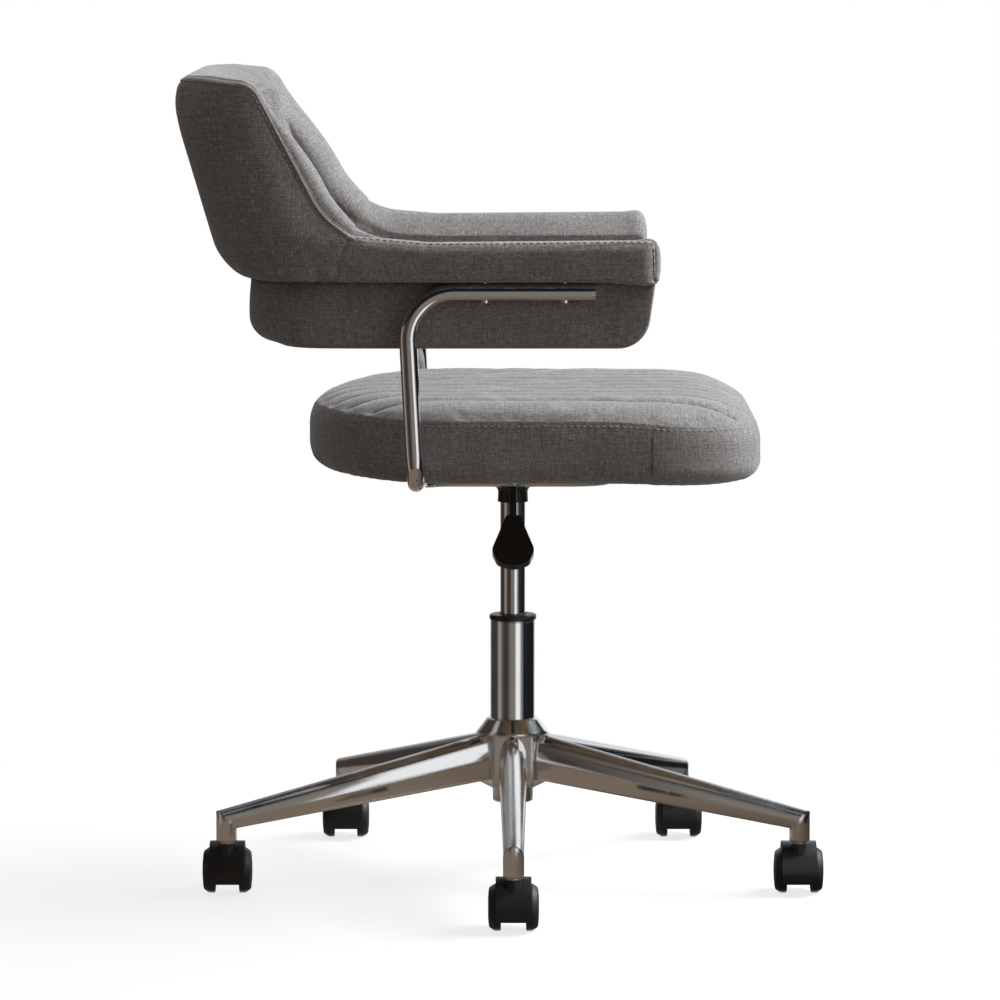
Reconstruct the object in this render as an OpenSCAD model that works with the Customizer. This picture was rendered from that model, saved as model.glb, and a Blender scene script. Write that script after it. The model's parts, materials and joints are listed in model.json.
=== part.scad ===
// Swivel office chair: a channelled seat on a gas lift and a five-leg caster base,
// with a low upholstered back and arms carried by one bent tube on each side.
// Millimetres, +Z up. The origin is on the floor under the gas lift; the chair faces -Y.

/* [Seat] */
// Width of the seat cushion
seat_w = 520; // [480:5:560]
// Front-to-back depth of the seat cushion
seat_d = 490; // [460:2:520]
// How far the middle of the seat lies in front of the gas lift
seat_forward = 21; // [10:1:35]
// Height of the cushion's crown above the underside of the seat board
cushion_rise = 76; // [60:1:90]
// How far the cushion's crown stands above its shoulders
cushion_crown = 11; // [6:1:16]
// How much lower the cushion's front shoulder lies than its other shoulders
cushion_drop = 7; // [0:1:20]
// How far the cushion's edge hangs below the underside of the seat board
cushion_lip = 13; // [8:1:16]
// Radius of the cushion's front corners seen from above
seat_corner = 115; // [90:5:130]
// Depth of the cushion's rounded rear seen from above
rear_round = 164; // [130:2:180]
// Thickness of the plywood seat board
board_t = 12; // [9:1:16]
// Width of the cushion's edge outside the seat board
board_inset = 34; // [25:1:45]

/* [Back and arms] */
// Height of the arm tubes' top run above the underside of the seat board
arm_rise = 196; // [180:2:220]
// Height of the upholstered arm
arm_h = 45; // [35:1:60]
// How much lower the arm's inner edge lies than its outer edge
arm_dish = 20; // [8:1:24]
// Thickness of the upholstered arm from side to side
arm_w = 52; // [44:1:60]
// How far the arm's outer face overhangs the arm tube
arm_lip = 5.5; // [3:0.5:10]
// Distance from the gas lift forward to the arm's front end
arm_reach = 156; // [130:2:180]
// Distance from the gas lift back to the upright seam between arm and back
seam_back = 174; // [165:1:185]
// Distance from the gas lift back to the rear of the shell at arm height
shell_back = 307; // [285:1:330]
// Height of the back above the underside of the arms
back_h = 217; // [170:1:260]
// Backward lean of the back, in degrees
recline = 17; // [10:1:22]
// Front-to-back thickness of the back
back_t = 64; // [50:1:75]
// Width of the back at its top as a share of its width at the arms
back_taper = 0.89; // [0.84:0.01:1]
// Slope of the wings' front edges, in degrees above the horizontal
wing_slope = 61; // [55:1:68]
// Outer corner radius of the shell seen from above
shell_corner = 95; // [80:1:110]
// Height of the band below the arms
band_h = 72; // [55:1:90]
// How far the rear of the shell overhangs the band below it
band_inset = 27; // [10:1:35]
// Thickness of the band along the sides
band_t = 26; // [20:1:32]
// Height and thickness of the plywood ring inside the shell
core_h = 24; // [16:1:26]
// Thickness of the plywood ring inside the shell
core_t = 20; // [14:1:22]

/* [Arm tubes] */
// Outer diameter of the tubes
tube_d = 19; // [16:0.5:22]
// Wall of the tubes
tube_wall = 1.5; // [1:0.1:2.5]
// Gap between the side of the seat and an arm tube
tube_gap = 18.5; // [14:0.5:26]
// Distance from the gas lift back to the tubes' lower bends
tube_back = 103; // [80:1:120]
// Backward lean of the upright runs, in degrees
tube_lean = 3; // [0:0.5:5]
// Centre-line radius of the bends below the arms
arm_bend = 50; // [40:1:60]
// Centre-line radius of the bends below the seat
seat_bend = 34; // [30:1:40]
// Distance from the gas lift forward to the tubes' front ends below the arms
tube_front = 84; // [60:1:110]
// Distance from the side edge of the seat board in to the long runs below it
runner_inset = 26; // [18:1:36]
// Centre-line radius of the bends in the runners
runner_bend = 40; // [30:1:45]
// Distance from the gas lift forward to the cross tube
cross_front = 105; // [100:1:125]

/* [Gas lift] */
// Diameter of the chromed lift cylinder
lift_d = 28; // [26:0.5:30]
// Length of the lift cylinder
lift_len = 243.5; // [236:0.5:250]
// Length of bare cylinder that shows at full height
lift_show = 125; // [118:1:130]
// Diameter of the outer column
column_d = 50; // [48:0.5:54]
// Height of the outer column's top above the hub
column_show = 110; // [105:1:120]
// Height of the black rim on the column
rim_h = 6; // [4:0.5:9]
// Height of the black collar under the seat mechanism
boot_h = 16; // [12:1:20]
// Height of the mechanism's socket
socket_h = 37; // [34:1:42]

/* [Seat plate and lever] */
// Width of the seat plate
plate_w = 160; // [140:2:180]
// Front-to-back length of the seat plate
plate_d = 180; // [160:2:184]
// Thickness of the seat plate
plate_t = 3; // [2:0.5:4]
// Diameter of the lever's rod
rod_d = 8; // [6:0.5:8]
// Angle of the lever's handle below the horizontal, in degrees
lever_drop = 50; // [35:1:60]
// Length of the lever's sloping rod
lever_len = 63; // [50:1:75]
// Length of the lever's paddle
paddle_len = 66; // [55:1:75]
// Width of the lever's paddle
paddle_w = 44; // [36:1:50]
// Thickness of the lever's paddle
paddle_t = 9; // [8:0.5:12]

/* [Base] */
// Distance from the column's axis to the casters' stems
base_r = 330.5; // [300:1:350]
// Height of the leg at the hub
leg_h = 50.5; // [42:0.5:56]
// Width of the leg at the hub
leg_w = 32.4; // [26:0.2:38]
// Wall of the legs' tapered tubes
leg_wall = 2.2; // [1.6:0.1:3]
// Height of the leg at its tip
leg_tip_h = 21.5; // [18:0.5:26]
// How far the leg climbs from tip to hub
leg_climb = 72; // [55:1:85]
// Outer diameter of the caster socket at the leg's tip
socket_d = 22.4; // [20:0.2:26]
// Length of the caster socket below the leg's top
socket_drop = 33.5; // [30:0.5:38]
// Height of the hub body
hub_h = 58; // [52:1:64]
// Height of the cone on top of the hub
hub_cone_h = 17; // [12:1:22]

/* [Casters] */
// Diameter of a caster wheel
wheel_d = 50; // [46:1:54]
// Thickness of a caster wheel
wheel_t = 13.7; // [11:0.1:16]
// Free width between the two wheels of a caster
wheel_slot = 26.6; // [24:0.2:30]
// Distance from the stem's axis back to the axle
caster_trail = 18; // [15:0.5:22]
// Width of the caster's hood
hood_w = 38; // [34:0.5:40]
// Thickness of the hood over the wheels
hood_t = 6.2; // [4.5:0.1:7]
// Diameter of the axle
axle_d = 6; // [5:0.5:8]
// Diameter of the stem inside the leg
stem_d = 11; // [10:0.5:12]

/* [Hidden] */
$fn = 64;
sides = ["right", "left"];
corners = [1:5];

// Clearances
fit_gap = 0.05;     // radial, a shaft in its hole
press_gap = 0.02;   // radial, a pin that stays fast in its hole
seat_gap = 0.3;     // a hard piece beside a soft one, or a turning face
wheel_gap = 0.4;    // wheel beside the hood's web
fender_gap = 1.2;   // wheel tread under the hood
lap = 1;            // how far a straight run reaches into a bend of the same rod
bend_step = 0.1;    // how much slimmer a bend is than the runs that reach into it
cut = 1;            // how far a hole's cutter runs past the face it opens
rest_gap = 0.1;     // under the seat board, above the tubes
pad_gap = 0.8;      // under the arm pads, above the tubes

// Heights, from the floor up
wheel_r = wheel_d / 2;
hood_r = wheel_r + fender_gap + hood_t;
hood_top = wheel_r + hood_r;
hood_low = 13.4;
flange_t = 2.8;
column_tail = 19;   // how far the column's foot hangs below the hub
lever_below = 7.5;  // from the seat plate's underside to the lever's axis
stem_z = hood_top + seat_gap + flange_t;
tip_top = stem_z + socket_drop;
leg_top = tip_top + leg_climb;
hub_z = leg_top - hub_h;
cone_z = leg_top + hub_cone_h;
column_z = hub_z - column_tail;
column_top = cone_z + column_show;
rim_top = column_top + rim_h;
boot_z = rim_top + lift_show;
socket_z = boot_z + boot_h;
plate_z = socket_z + socket_h;
seat_z = plate_z + plate_t;
lever_z = plate_z - lever_below;
tube_r = tube_d / 2;
runner_z = seat_z - tube_r - rest_gap;
arm_run_z = seat_z + arm_rise;
arm_z = arm_run_z + tube_r + pad_gap;
arm_top = arm_z + arm_h;
band_z = arm_z - band_h;

// Plan positions
tube_x = seat_w / 2 + tube_gap + tube_r;
shell_x = tube_x + tube_r + arm_lip;
inner_x = shell_x - arm_w;
board_x = seat_w / 2 - board_inset;
runner_x = board_x - runner_inset;
band_x = inner_x + band_t;
band_rear = shell_back - band_inset;
seat_front = -seat_forward - seat_d / 2;
seat_rear = -seat_forward + seat_d / 2;

// Base
hub_r = 31;
cone_r = 41;
cone_lip = 3;
cone_top_r = column_d / 2 + cone_lip;
tip_r = base_r + socket_d / 2;
column_wall = 1.5;
foot_step = 2.7;
column_foot_r = column_d / 2 - foot_step;
foot_cone_z = hub_z + 4;
foot_cone_h = 14;
foot_chamfer = 1.5;
bush_h = 52;
bearing_r = 12;
stem_len = 21;
flange_d = 16;
pin_r = 5;
pin_len = 20.5;
boss_r = 8;
boss_h = 13;
axle_inset = 2;
cap_t = 1.8;

// Gas lift
lift_r = lift_d / 2;
taper_h = 25.5;
taper_r = lift_r - 0.6;
lift_top = lever_z - rod_d / 2 - 4;
lift_z = lift_top - lift_len;
lift_wall = 1.5;
floor_t = 4;
bearing_h = 6;
shoulder_h = 4;
shoulder_r = 9;
rod_tail = 4;
clip_t = 2.5;
foot_h = 12;        // thickness of the cylinder's lower end
piston_h = 12;
piston_up = 16;     // from the cylinder's lower end to the piston
valve_h = 6;
pin_grip = 12;      // how much of the valve pin the cylinder holds
pivot_x = -30;
pivot_r = 2;
button_r = 3;
button_len = 16;
ear_t = 3;
ear_h = 15;
ear_w = 12;         // an ear's width past the socket
socket_wall = 5;
slot_gap = 0.4;     // beside the lever in the socket's slot
slot_low = 3;       // below the lever, for its stroke

// Seat plate
plate_corner = 12;
bolt_x = plate_w / 2 - 18;
bolt_y = plate_d / 2 - 14;
bolt_d = 6;
bolt_head = 12;
bolt_head_h = 4;
board_skin = 2;     // what a bolt or screw leaves of the seat board above it
tab_y = [-50, 48];
tab_reach = 30;
tab_w = 24;
screw_d = 4;
screw_head = 9;
screw_head_h = 3;
screw_sink = 1;     // depth of the flat under each screw head in an arm tube
screw_bite = 18;    // how far an arm screw reaches into the arm
screw_inset = 10;   // from a tab's end to its screw
screw_play = 0.6;   // how much wider a clearance hole is than its screw
plug_t = 2;
plug_grip = 12;
arm_screw_y = [-54, 30];
tab_screw_x = runner_x - tube_r - tab_reach + screw_inset;

function unit(v) = v / norm(v);
// Points of the arc that rounds corner b between its neighbours a and c
function corner(a, b, c, r, n) =
    r == 0 ? [b] :
    let (u = unit(a - b), w = unit(c - b), half = acos(u * w) / 2)
    let (ctr = b + unit(u + w) * r / sin(half), s = b + u * r / tan(half) - ctr)
    let (e = b + w * r / tan(half) - ctr, from = atan2(s.y, s.x))
    let (sweep = (atan2(e.y, e.x) - from + 540) % 360 - 180)
    [for (k = [0:n]) ctr + r * [cos(from + sweep * k / n), sin(from + sweep * k / n)]];
// An outline through [x, y, radius] corners
function outline(p, n = 6) = [for (i = [0:len(p) - 1])
    let (a = p[(i + len(p) - 1) % len(p)], b = p[i], c = p[(i + 1) % len(p)])
    each corner([a.x, a.y], [b.x, b.y], [c.x, c.y], b[2], n)];

module rounded(w, d, r) {
    square([w - 2 * r, d], center = true);
    square([w, d - 2 * r], center = true);
    for (x = [-1, 1], y = [-1, 1]) translate([x * (w / 2 - r), y * (d / 2 - r)]) circle(r);
}

// A profile drawn in Y and Z, carried along X
module along_x(x0, x1) {
    translate([x0, 0, 0]) rotate([90, 0, 90]) linear_extrude(x1 - x0) children();
}

// A profile drawn in X and Z, carried along Y
module along_y(y0, y1) {
    translate([0, y1, 0]) rotate([90, 0, 0]) linear_extrude(y1 - y0) children();
}

// A bend of a round rod, from the +X axis through the angle
module elbow(bend, r, angle) {
    rotate_extrude(angle = angle) translate([bend, 0]) circle(r - bend_step);
}

module at_side(side) {
    if (side == "right") children();
    else mirror([1, 0, 0]) children();
}

module at_corner(i) {
    rotate([0, 0, 180 + 72 * (i - 1)]) children();
}

// ---- base ----

module base_hub() {
    color("silver") difference() {
        union() {
            translate([0, 0, hub_z]) cylinder(h = hub_h, r = hub_r / cos(36), $fn = 5);
            translate([0, 0, leg_top]) cylinder(h = hub_cone_h, r1 = cone_r, r2 = cone_top_r);
        }
        rotate_extrude() polygon([
            [0, hub_z - cut],
            [column_foot_r + fit_gap, hub_z - cut],
            [column_foot_r + fit_gap, foot_cone_z],
            [column_d / 2 + fit_gap, foot_cone_z + foot_cone_h],
            [column_d / 2 + fit_gap, cone_z + cut],
            [0, cone_z + cut]
        ]);
    }
}

// Half of the leg's arched section: share of the half width, share of the height
leg_tip_inset = 0.4;
leg_section = [[0, 1], [0.36, 0.96], [0.68, 0.84], [0.9, 0.66], [1, 0.46], [0.93, 0.22], [0.8, 0]];
leg_ring = concat(
    leg_section,
    [for (k = [len(leg_section) - 1:-1:1]) [-leg_section[k].x, leg_section[k].y]]
);
leg_bottom_slope = (leg_climb + leg_tip_h - leg_h) / (tip_r - hub_r);
leg_top_slope = leg_climb / (tip_r - hub_r);
leg_tip_w = socket_d - 2 * leg_tip_inset;
function leg_width(r) = leg_w + (leg_tip_w - leg_w) * (r - hub_r) / (tip_r - hub_r);
function leg_low(r) = leg_top - leg_h - (r - hub_r) * leg_bottom_slope;
function leg_high(r) = leg_top - (r - hub_r) * leg_top_slope;
// The section at radius r, drawn in by inset all round
function leg_ring_at(r, inset) = [for (p = leg_ring) [
    r,
    p.x * (leg_width(r) / 2 - inset),
    leg_low(r) + inset + p.y * (leg_high(r) - leg_low(r) - 2 * inset)
]];

// The leg's tapered arch between two radii
module leg_arch(from, to, inset) {
    n = len(leg_ring);
    polyhedron(
        points = concat(leg_ring_at(from, inset), leg_ring_at(to, inset)),
        faces = concat(
            [[for (k = [n - 1:-1:0]) k]],
            [[for (k = [0:n - 1]) n + k]],
            [for (k = [0:n - 1]) [k, n + (k + 1) % n, n + k]],
            [for (k = [0:n - 1]) [k, (k + 1) % n, n + (k + 1) % n]]
        )
    );
}

module base_leg(i) {
    color("silver") at_corner(i) difference() {
        union() {
            intersection() {
                leg_arch(hub_r, tip_r + cut, 0);
                union() {
                    translate([0, -leg_w, 0]) cube([base_r, 2 * leg_w, leg_top + cut]);
                    translate([base_r, 0, stem_z]) cylinder(h = leg_top - stem_z, d = socket_d);
                }
            }
            translate([base_r, 0, stem_z]) cylinder(h = socket_drop - leg_tip_h / 2, d = socket_d);
        }
        leg_arch(hub_r - cut, base_r - socket_d / 2 - leg_wall, leg_wall);
        translate([base_r, 0, stem_z - cut]) cylinder(h = stem_len + 2 * cut, r = stem_d / 2 + fit_gap);
    }
}

module column_tube() {
    in_r = column_d / 2 - column_wall;
    color("silver") rotate_extrude() polygon([
        [pin_r + fit_gap, column_z],
        [column_foot_r - foot_chamfer, column_z],
        [column_foot_r, column_z + foot_chamfer],
        [column_foot_r, foot_cone_z],
        [column_d / 2, foot_cone_z + foot_cone_h],
        [column_d / 2, column_top],
        [in_r, column_top],
        [in_r, foot_cone_z + foot_cone_h],
        [column_foot_r - column_wall, foot_cone_z],
        [column_foot_r - column_wall, column_z + floor_t],
        [pin_r + fit_gap, column_z + floor_t]
    ]);
}

module column_rim() {
    out_r = column_d / 2 + 1.1;
    in_r = lift_r + 0.8;
    color("black") translate([0, 0, column_top]) rotate_extrude() polygon(outline([
        [in_r, 0, 0],
        [out_r, 0, 1],
        [out_r, rim_h - 0.5, 2.2],
        [in_r + 3, rim_h, 1],
        [in_r, rim_h - 1, 0]
    ]));
}

module guide_bush() {
    color("black") translate([0, 0, column_top - bush_h]) difference() {
        cylinder(h = bush_h, r = column_d / 2 - column_wall - fit_gap);
        translate([0, 0, -cut]) cylinder(h = bush_h + 2 * cut, r = lift_r + fit_gap);
    }
}

module thrust_bearing() {
    color("gray") translate([0, 0, column_z + floor_t]) difference() {
        cylinder(h = bearing_h, r = bearing_r);
        translate([0, 0, -cut]) cylinder(h = bearing_h + 2 * cut, r = pin_r + fit_gap);
    }
}

// ---- casters ----

module caster_stems() {
    color("silver") for (i = corners) at_corner(i) translate([base_r, 0, stem_z]) {
        cylinder(h = stem_len, d = stem_d);
        translate([0, 0, -flange_t]) cylinder(h = flange_t, d = flange_d);
        translate([0, 0, -pin_len]) cylinder(h = pin_len, r = pin_r);
    }
}

// A caster's frame: the stem's axis at the origin, the axle a trail's length along +X
module at_caster(i) {
    a = 180 + 72 * (i - 1);
    translate([base_r * cos(a), base_r * sin(a), 0]) children();
}

module at_axle(i) {
    at_caster(i) translate([caster_trail, 0, wheel_r]) rotate([-90, 0, 0]) children();
}

module caster_hood(i) {
    web_w = wheel_slot - 2 * wheel_gap;
    color("black") difference() {
        union() {
            at_axle(i) difference() {
                cylinder(h = hood_w, r = hood_r, center = true);
                for (side = [0, 180]) rotate([side, 0, 0]) translate([0, 0, web_w / 2])
                    cylinder(h = hood_w, r = wheel_r + fender_gap);
            }
            at_caster(i) translate([0, 0, hood_top - boss_h]) cylinder(h = boss_h, r = boss_r);
            at_caster(i) translate([0, 0, hood_top - boss_h]) sphere(boss_r);
        }
        at_caster(i) translate([0, 0, stem_z - pin_len - seat_gap])
            cylinder(h = 2 * pin_len, r = pin_r + fit_gap);
        at_axle(i) cylinder(h = 2 * hood_w, r = axle_d / 2 + press_gap, center = true);
        at_caster(i) translate([-2 * hood_r, -hood_w, hood_low - hood_r])
            cube([4 * hood_r, 2 * hood_w, hood_r]);
    }
}

module caster_axle(i) {
    color("gray") at_axle(i) cylinder(
        h = wheel_slot + 2 * (wheel_t - axle_inset), d = axle_d, center = true
    );
}

module caster_wheel(i, side) {
    color("black") at_axle(i) rotate([side == "right" ? 180 : 0, 0, 0])
        translate([0, 0, wheel_slot / 2]) rotate_extrude() polygon(outline([
            [axle_d / 2 + fit_gap, 0, 0],
            [wheel_r, 0, 1.2],
            [wheel_r, wheel_t * 0.5, 5],
            [wheel_r - 4, wheel_t * 0.93, 5],
            [wheel_r * 0.45, wheel_t, 12],
            [0, wheel_t, 0],
            [0, wheel_t - cap_t, 0],
            [axle_d / 2 + fit_gap, wheel_t - cap_t, 0]
        ]));
}

// ---- gas lift ----

module piston_rod() {
    shoulder_z = column_z + floor_t + bearing_h + fit_gap;
    color("silver") {
        translate([0, 0, column_z - rod_tail])
            cylinder(h = lift_z + piston_up + rod_tail - column_z, r = pin_r);
        translate([0, 0, shoulder_z]) cylinder(h = shoulder_h, r = shoulder_r);
        translate([0, 0, lift_z + piston_up]) cylinder(h = piston_h, r = lift_r - lift_wall - fit_gap);
    }
}

module retaining_clip() {
    color("gray") translate([0, 0, column_z - clip_t - fit_gap]) difference() {
        cylinder(h = clip_t, r = shoulder_r);
        translate([0, 0, -cut]) cylinder(h = clip_t + 2 * cut, r = pin_r + press_gap);
    }
}

module lift_cylinder() {
    in_r = lift_r - lift_wall;
    color("silver") rotate_extrude() polygon([
        [pin_r + fit_gap, lift_z],
        [lift_r - 1, lift_z],
        [lift_r, lift_z + 1],
        [lift_r, lift_top - taper_h],
        [taper_r, lift_top],
        [button_r + fit_gap, lift_top],
        [button_r + fit_gap, lift_top - button_len],
        [0, lift_top - button_len],
        [0, lift_top - button_len - valve_h],
        [in_r, lift_top - button_len - valve_h],
        [in_r, lift_z + foot_h],
        [pin_r + fit_gap, lift_z + foot_h]
    ]);
}

module release_pin() {
    pin_top = lever_z - rod_d / 2 - seat_gap;
    color("gray") {
        translate([0, 0, lift_top - pin_grip])
            cylinder(h = pin_top - button_r - lift_top + pin_grip, r = button_r);
        translate([0, 0, pin_top - button_r]) sphere(button_r);
    }
}

module lift_boot() {
    color("black") translate([0, 0, boot_z]) rotate_extrude() polygon(outline([
        [lift_r + fit_gap, 0, 0],
        [lift_r + 3, 0, 0.8],
        [lift_r + 2.6, boot_h * 0.3, 4],
        [lift_r + 2.4, boot_h - 4, 4],
        [lift_r + 4.2, boot_h, 0],
        [lift_r + fit_gap, boot_h, 0]
    ], 4));
}

// ---- seat mechanism ----

module lift_socket() {
    wall_r = lift_r + socket_wall;
    taper_gap = 0.03;
    bore_low = lift_r - (lift_r - taper_r) * (socket_z - lift_top + taper_h) / taper_h;
    ear_x = [pivot_x - ear_w / 2, -lift_r - socket_wall / 2];
    color("dimgray") difference() {
        union() {
            translate([0, 0, socket_z]) cylinder(h = socket_h, r = wall_r);
            for (y = [-1, 1])
                translate([ear_x[0], y * (rod_d / 2 + slot_gap + ear_t / 2) - ear_t / 2, plate_z - ear_h])
                    cube([ear_x[1] - ear_x[0], ear_t, ear_h]);
        }
        rotate_extrude() polygon([
            [0, socket_z - cut],
            [bore_low + taper_gap, socket_z - cut],
            [bore_low + taper_gap, socket_z],
            [taper_r + taper_gap, lift_top],
            [taper_r + taper_gap, plate_z + cut],
            [0, plate_z + cut]
        ]);
        translate([-wall_r - cut, -rod_d / 2 - slot_gap, lever_z - rod_d / 2 - slot_low])
            cube([wall_r, rod_d + 2 * slot_gap, socket_h]);
        translate([pivot_x, 0, lever_z]) rotate([90, 0, 0])
            cylinder(h = 2 * wall_r, r = pivot_r + press_gap, center = true);
    }
}

module seat_plate() {
    color("dimgray") translate([0, 0, plate_z]) difference() {
        linear_extrude(plate_t) rounded(plate_w, plate_d, plate_corner);
        for (x = [-1, 1], y = [-1, 1]) translate([x * bolt_x, y * bolt_y, -cut])
            cylinder(h = plate_t + 2 * cut, d = bolt_d + screw_play);
    }
}

module plate_bolts() {
    color("gray") for (x = [-1, 1], y = [-1, 1]) translate([x * bolt_x, y * bolt_y, plate_z]) {
        translate([0, 0, -bolt_head_h]) cylinder(h = bolt_head_h, d = bolt_head, $fn = 6);
        cylinder(h = plate_t + board_t - board_skin, d = bolt_d);
    }
}

module lever_pivot() {
    color("gray") translate([pivot_x, 0, lever_z]) rotate([90, 0, 0])
        cylinder(h = rod_d + 2 * (slot_gap + ear_t) + 2 * cut, r = pivot_r, center = true);
}

lever_bend = 14;
lever_knee = pivot_x - ear_w;
lever_nose = 3;     // how far the rod reaches past the valve pin's axis
tang_d = 5;         // the rod's end inside the paddle
tang_len = 20;
// Where the sloping rod begins, in X and Z
rod_start = [
    lever_knee - lever_bend * sin(lever_drop),
    lever_z - lever_bend * (1 - cos(lever_drop))
];

// The lever's own frame, with +Z along the sloping rod and +X out of its upper face
module at_rod(along) {
    translate([rod_start.x, 0, rod_start.y]) rotate([0, -90 - lever_drop, 0])
        translate([0, 0, along]) children();
}

module lever_rod() {
    color("black") difference() {
        union() {
            translate([lever_knee - lap, 0, lever_z]) rotate([0, 90, 0])
                cylinder(h = lever_nose + lap - lever_knee, d = rod_d);
            translate([lever_knee, 0, lever_z - lever_bend]) rotate([90, 0, 0]) rotate([0, 0, 90])
                elbow(lever_bend, rod_d / 2, lever_drop);
            at_rod(-lap) cylinder(h = lever_len + lap, d = rod_d);
            at_rod(lever_len) cylinder(h = tang_len, d = tang_d);
        }
        translate([pivot_x, 0, lever_z]) rotate([90, 0, 0])
            cylinder(h = 2 * rod_d, r = pivot_r + fit_gap, center = true);
    }
}

module lever_paddle() {
    half = paddle_w / 2;
    neck = 7.5;
    color("black") at_rod(lever_len) difference() {
        along_x(-paddle_t / 2, paddle_t / 2) polygon(outline([
            [-neck, 0, 2],
            [neck, 0, 2],
            [half + 1.5, paddle_len * 0.68, half * 0.6],
            [half * 0.8, paddle_len - 6, half * 0.4],
            [0, paddle_len + 1, half],
            [-half * 0.8, paddle_len - 6, half * 0.4],
            [-half - 1.5, paddle_len * 0.68, half * 0.6]
        ]));
        translate([0, 0, -cut]) cylinder(h = tang_len + seat_gap + cut, d = tang_d + 2 * fit_gap);
    }
}

// ---- tube frame ----

lower_z = runner_z + seat_bend * cos(tube_lean);
lower_y = tube_back + seat_bend * sin(tube_lean);
bend_z = arm_run_z - arm_bend;
upright = (bend_z - lower_z - arm_bend * sin(tube_lean)) / cos(tube_lean);
bend_y = lower_y + upright * sin(tube_lean) - arm_bend * cos(tube_lean);

// The right-hand tube's whole run as a solid rod of radius r, open = how far its front end is cut
module tube_run(r, open) {
    inward = tube_x - seat_bend - runner_x - runner_bend;
    long_run = tube_back + cross_front - 2 * runner_bend;
    translate([-tube_x, -tube_front - open, arm_run_z]) rotate([-90, 0, 0])
        cylinder(h = bend_y + tube_front + open + lap, r = r);
    translate([-tube_x, bend_y, bend_z]) rotate([90, 0, 90]) rotate([0, 0, -tube_lean])
        elbow(arm_bend, r, 90 + tube_lean);
    translate([-tube_x, lower_y, lower_z]) rotate([-tube_lean, 0, 0]) {
        translate([0, 0, -lap]) cylinder(h = upright + 2 * lap, r = r);
        translate([seat_bend, 0, 0]) rotate([90, 0, 0]) rotate([0, 0, 180])
            elbow(seat_bend, r, 90);
    }
    translate([seat_bend - tube_x - lap, tube_back, runner_z]) rotate([0, 90, 0])
        cylinder(h = inward + 2 * lap, r = r);
    translate([-runner_x - runner_bend, tube_back - runner_bend, runner_z])
        elbow(runner_bend, r, 90);
    translate([-runner_x, runner_bend - cross_front - lap, runner_z]) rotate([-90, 0, 0])
        cylinder(h = long_run + 2 * lap, r = r);
    translate([runner_bend - runner_x, runner_bend - cross_front, runner_z]) rotate([0, 0, 180])
        elbow(runner_bend, r, 90);
}

module arm_tube(side) {
    tab_x = tube_r + tab_reach;
    color("silver") at_side(side) difference() {
        union() {
            tube_run(tube_r, 0);
            for (y = tab_y) translate([tube_r / 2 - runner_x, y - tab_w / 2, seat_z - plate_t])
                cube([tab_x - tube_r / 2, tab_w, plate_t]);
        }
        tube_run(tube_r - tube_wall, cut);
        for (y = tab_y) translate([-tab_screw_x, y, seat_z - plate_t - cut])
            cylinder(h = plate_t + 2 * cut, d = screw_d + screw_play);
        for (y = arm_screw_y) translate([-tube_x, y, arm_run_z - tube_r - cut]) {
            cylinder(h = tube_d + 2 * cut, d = screw_d + screw_play);
            cylinder(h = screw_sink + cut, d = screw_head + screw_play);
        }
    }
}

module cross_tube() {
    half = runner_x - runner_bend;
    color("silver") translate([0, -cross_front, runner_z]) rotate([0, 90, 0]) difference() {
        cylinder(h = 2 * half, r = tube_r, center = true);
        cylinder(h = 2 * (half + cut), r = tube_r - tube_wall, center = true);
    }
}

module frame_screws() {
    color("gray") for (side = sides, y = tab_y) at_side(side)
        translate([-tab_screw_x, y, seat_z - plate_t]) {
            translate([0, 0, -screw_head_h]) cylinder(h = screw_head_h, d = screw_head);
            cylinder(h = plate_t + board_t - board_skin, d = screw_d);
        }
}

module arm_screws() {
    head_z = arm_run_z - tube_r - screw_head_h + screw_sink;
    color("silver") for (side = sides, y = arm_screw_y) at_side(side)
        translate([-tube_x, y, head_z]) {
            cylinder(h = screw_head_h, d = screw_head);
            cylinder(h = arm_z + screw_bite - head_z, d = screw_d);
        }
}

module tube_plugs() {
    color("silver") for (side = sides) at_side(side)
        translate([-tube_x, -tube_front, arm_run_z]) rotate([90, 0, 0]) {
            cylinder(h = plug_t, d = tube_d);
            translate([0, 0, -plug_grip]) cylinder(h = plug_grip, r = tube_r - tube_wall - fit_gap);
        }
}

// ---- seat ----

// Two rounded corners in front and half an ellipse behind
module seat_plan(inset) {
    half = seat_w / 2 - inset;
    front = seat_front + inset;
    polygon(outline(concat(
        [[-half, front, seat_corner - inset], [half, front, seat_corner - inset]],
        [for (a = [0:6:180])
            [half * cos(a), seat_rear - rear_round + (rear_round - inset) * sin(a), 0]]
    ), 10));
}

module seat_board() {
    hole_h = cut + board_t - board_skin + fit_gap;
    color("burlywood") difference() {
        translate([0, 0, seat_z]) linear_extrude(board_t) seat_plan(board_inset);
        for (x = [-1, 1], y = [-1, 1]) translate([x * bolt_x, y * bolt_y, seat_z - cut])
            cylinder(h = hole_h, r = bolt_d / 2 + fit_gap);
        for (side = sides, y = tab_y) at_side(side) translate([-tab_screw_x, y, seat_z - cut])
            cylinder(h = hole_h, r = screw_d / 2 + fit_gap);
    }
}

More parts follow.
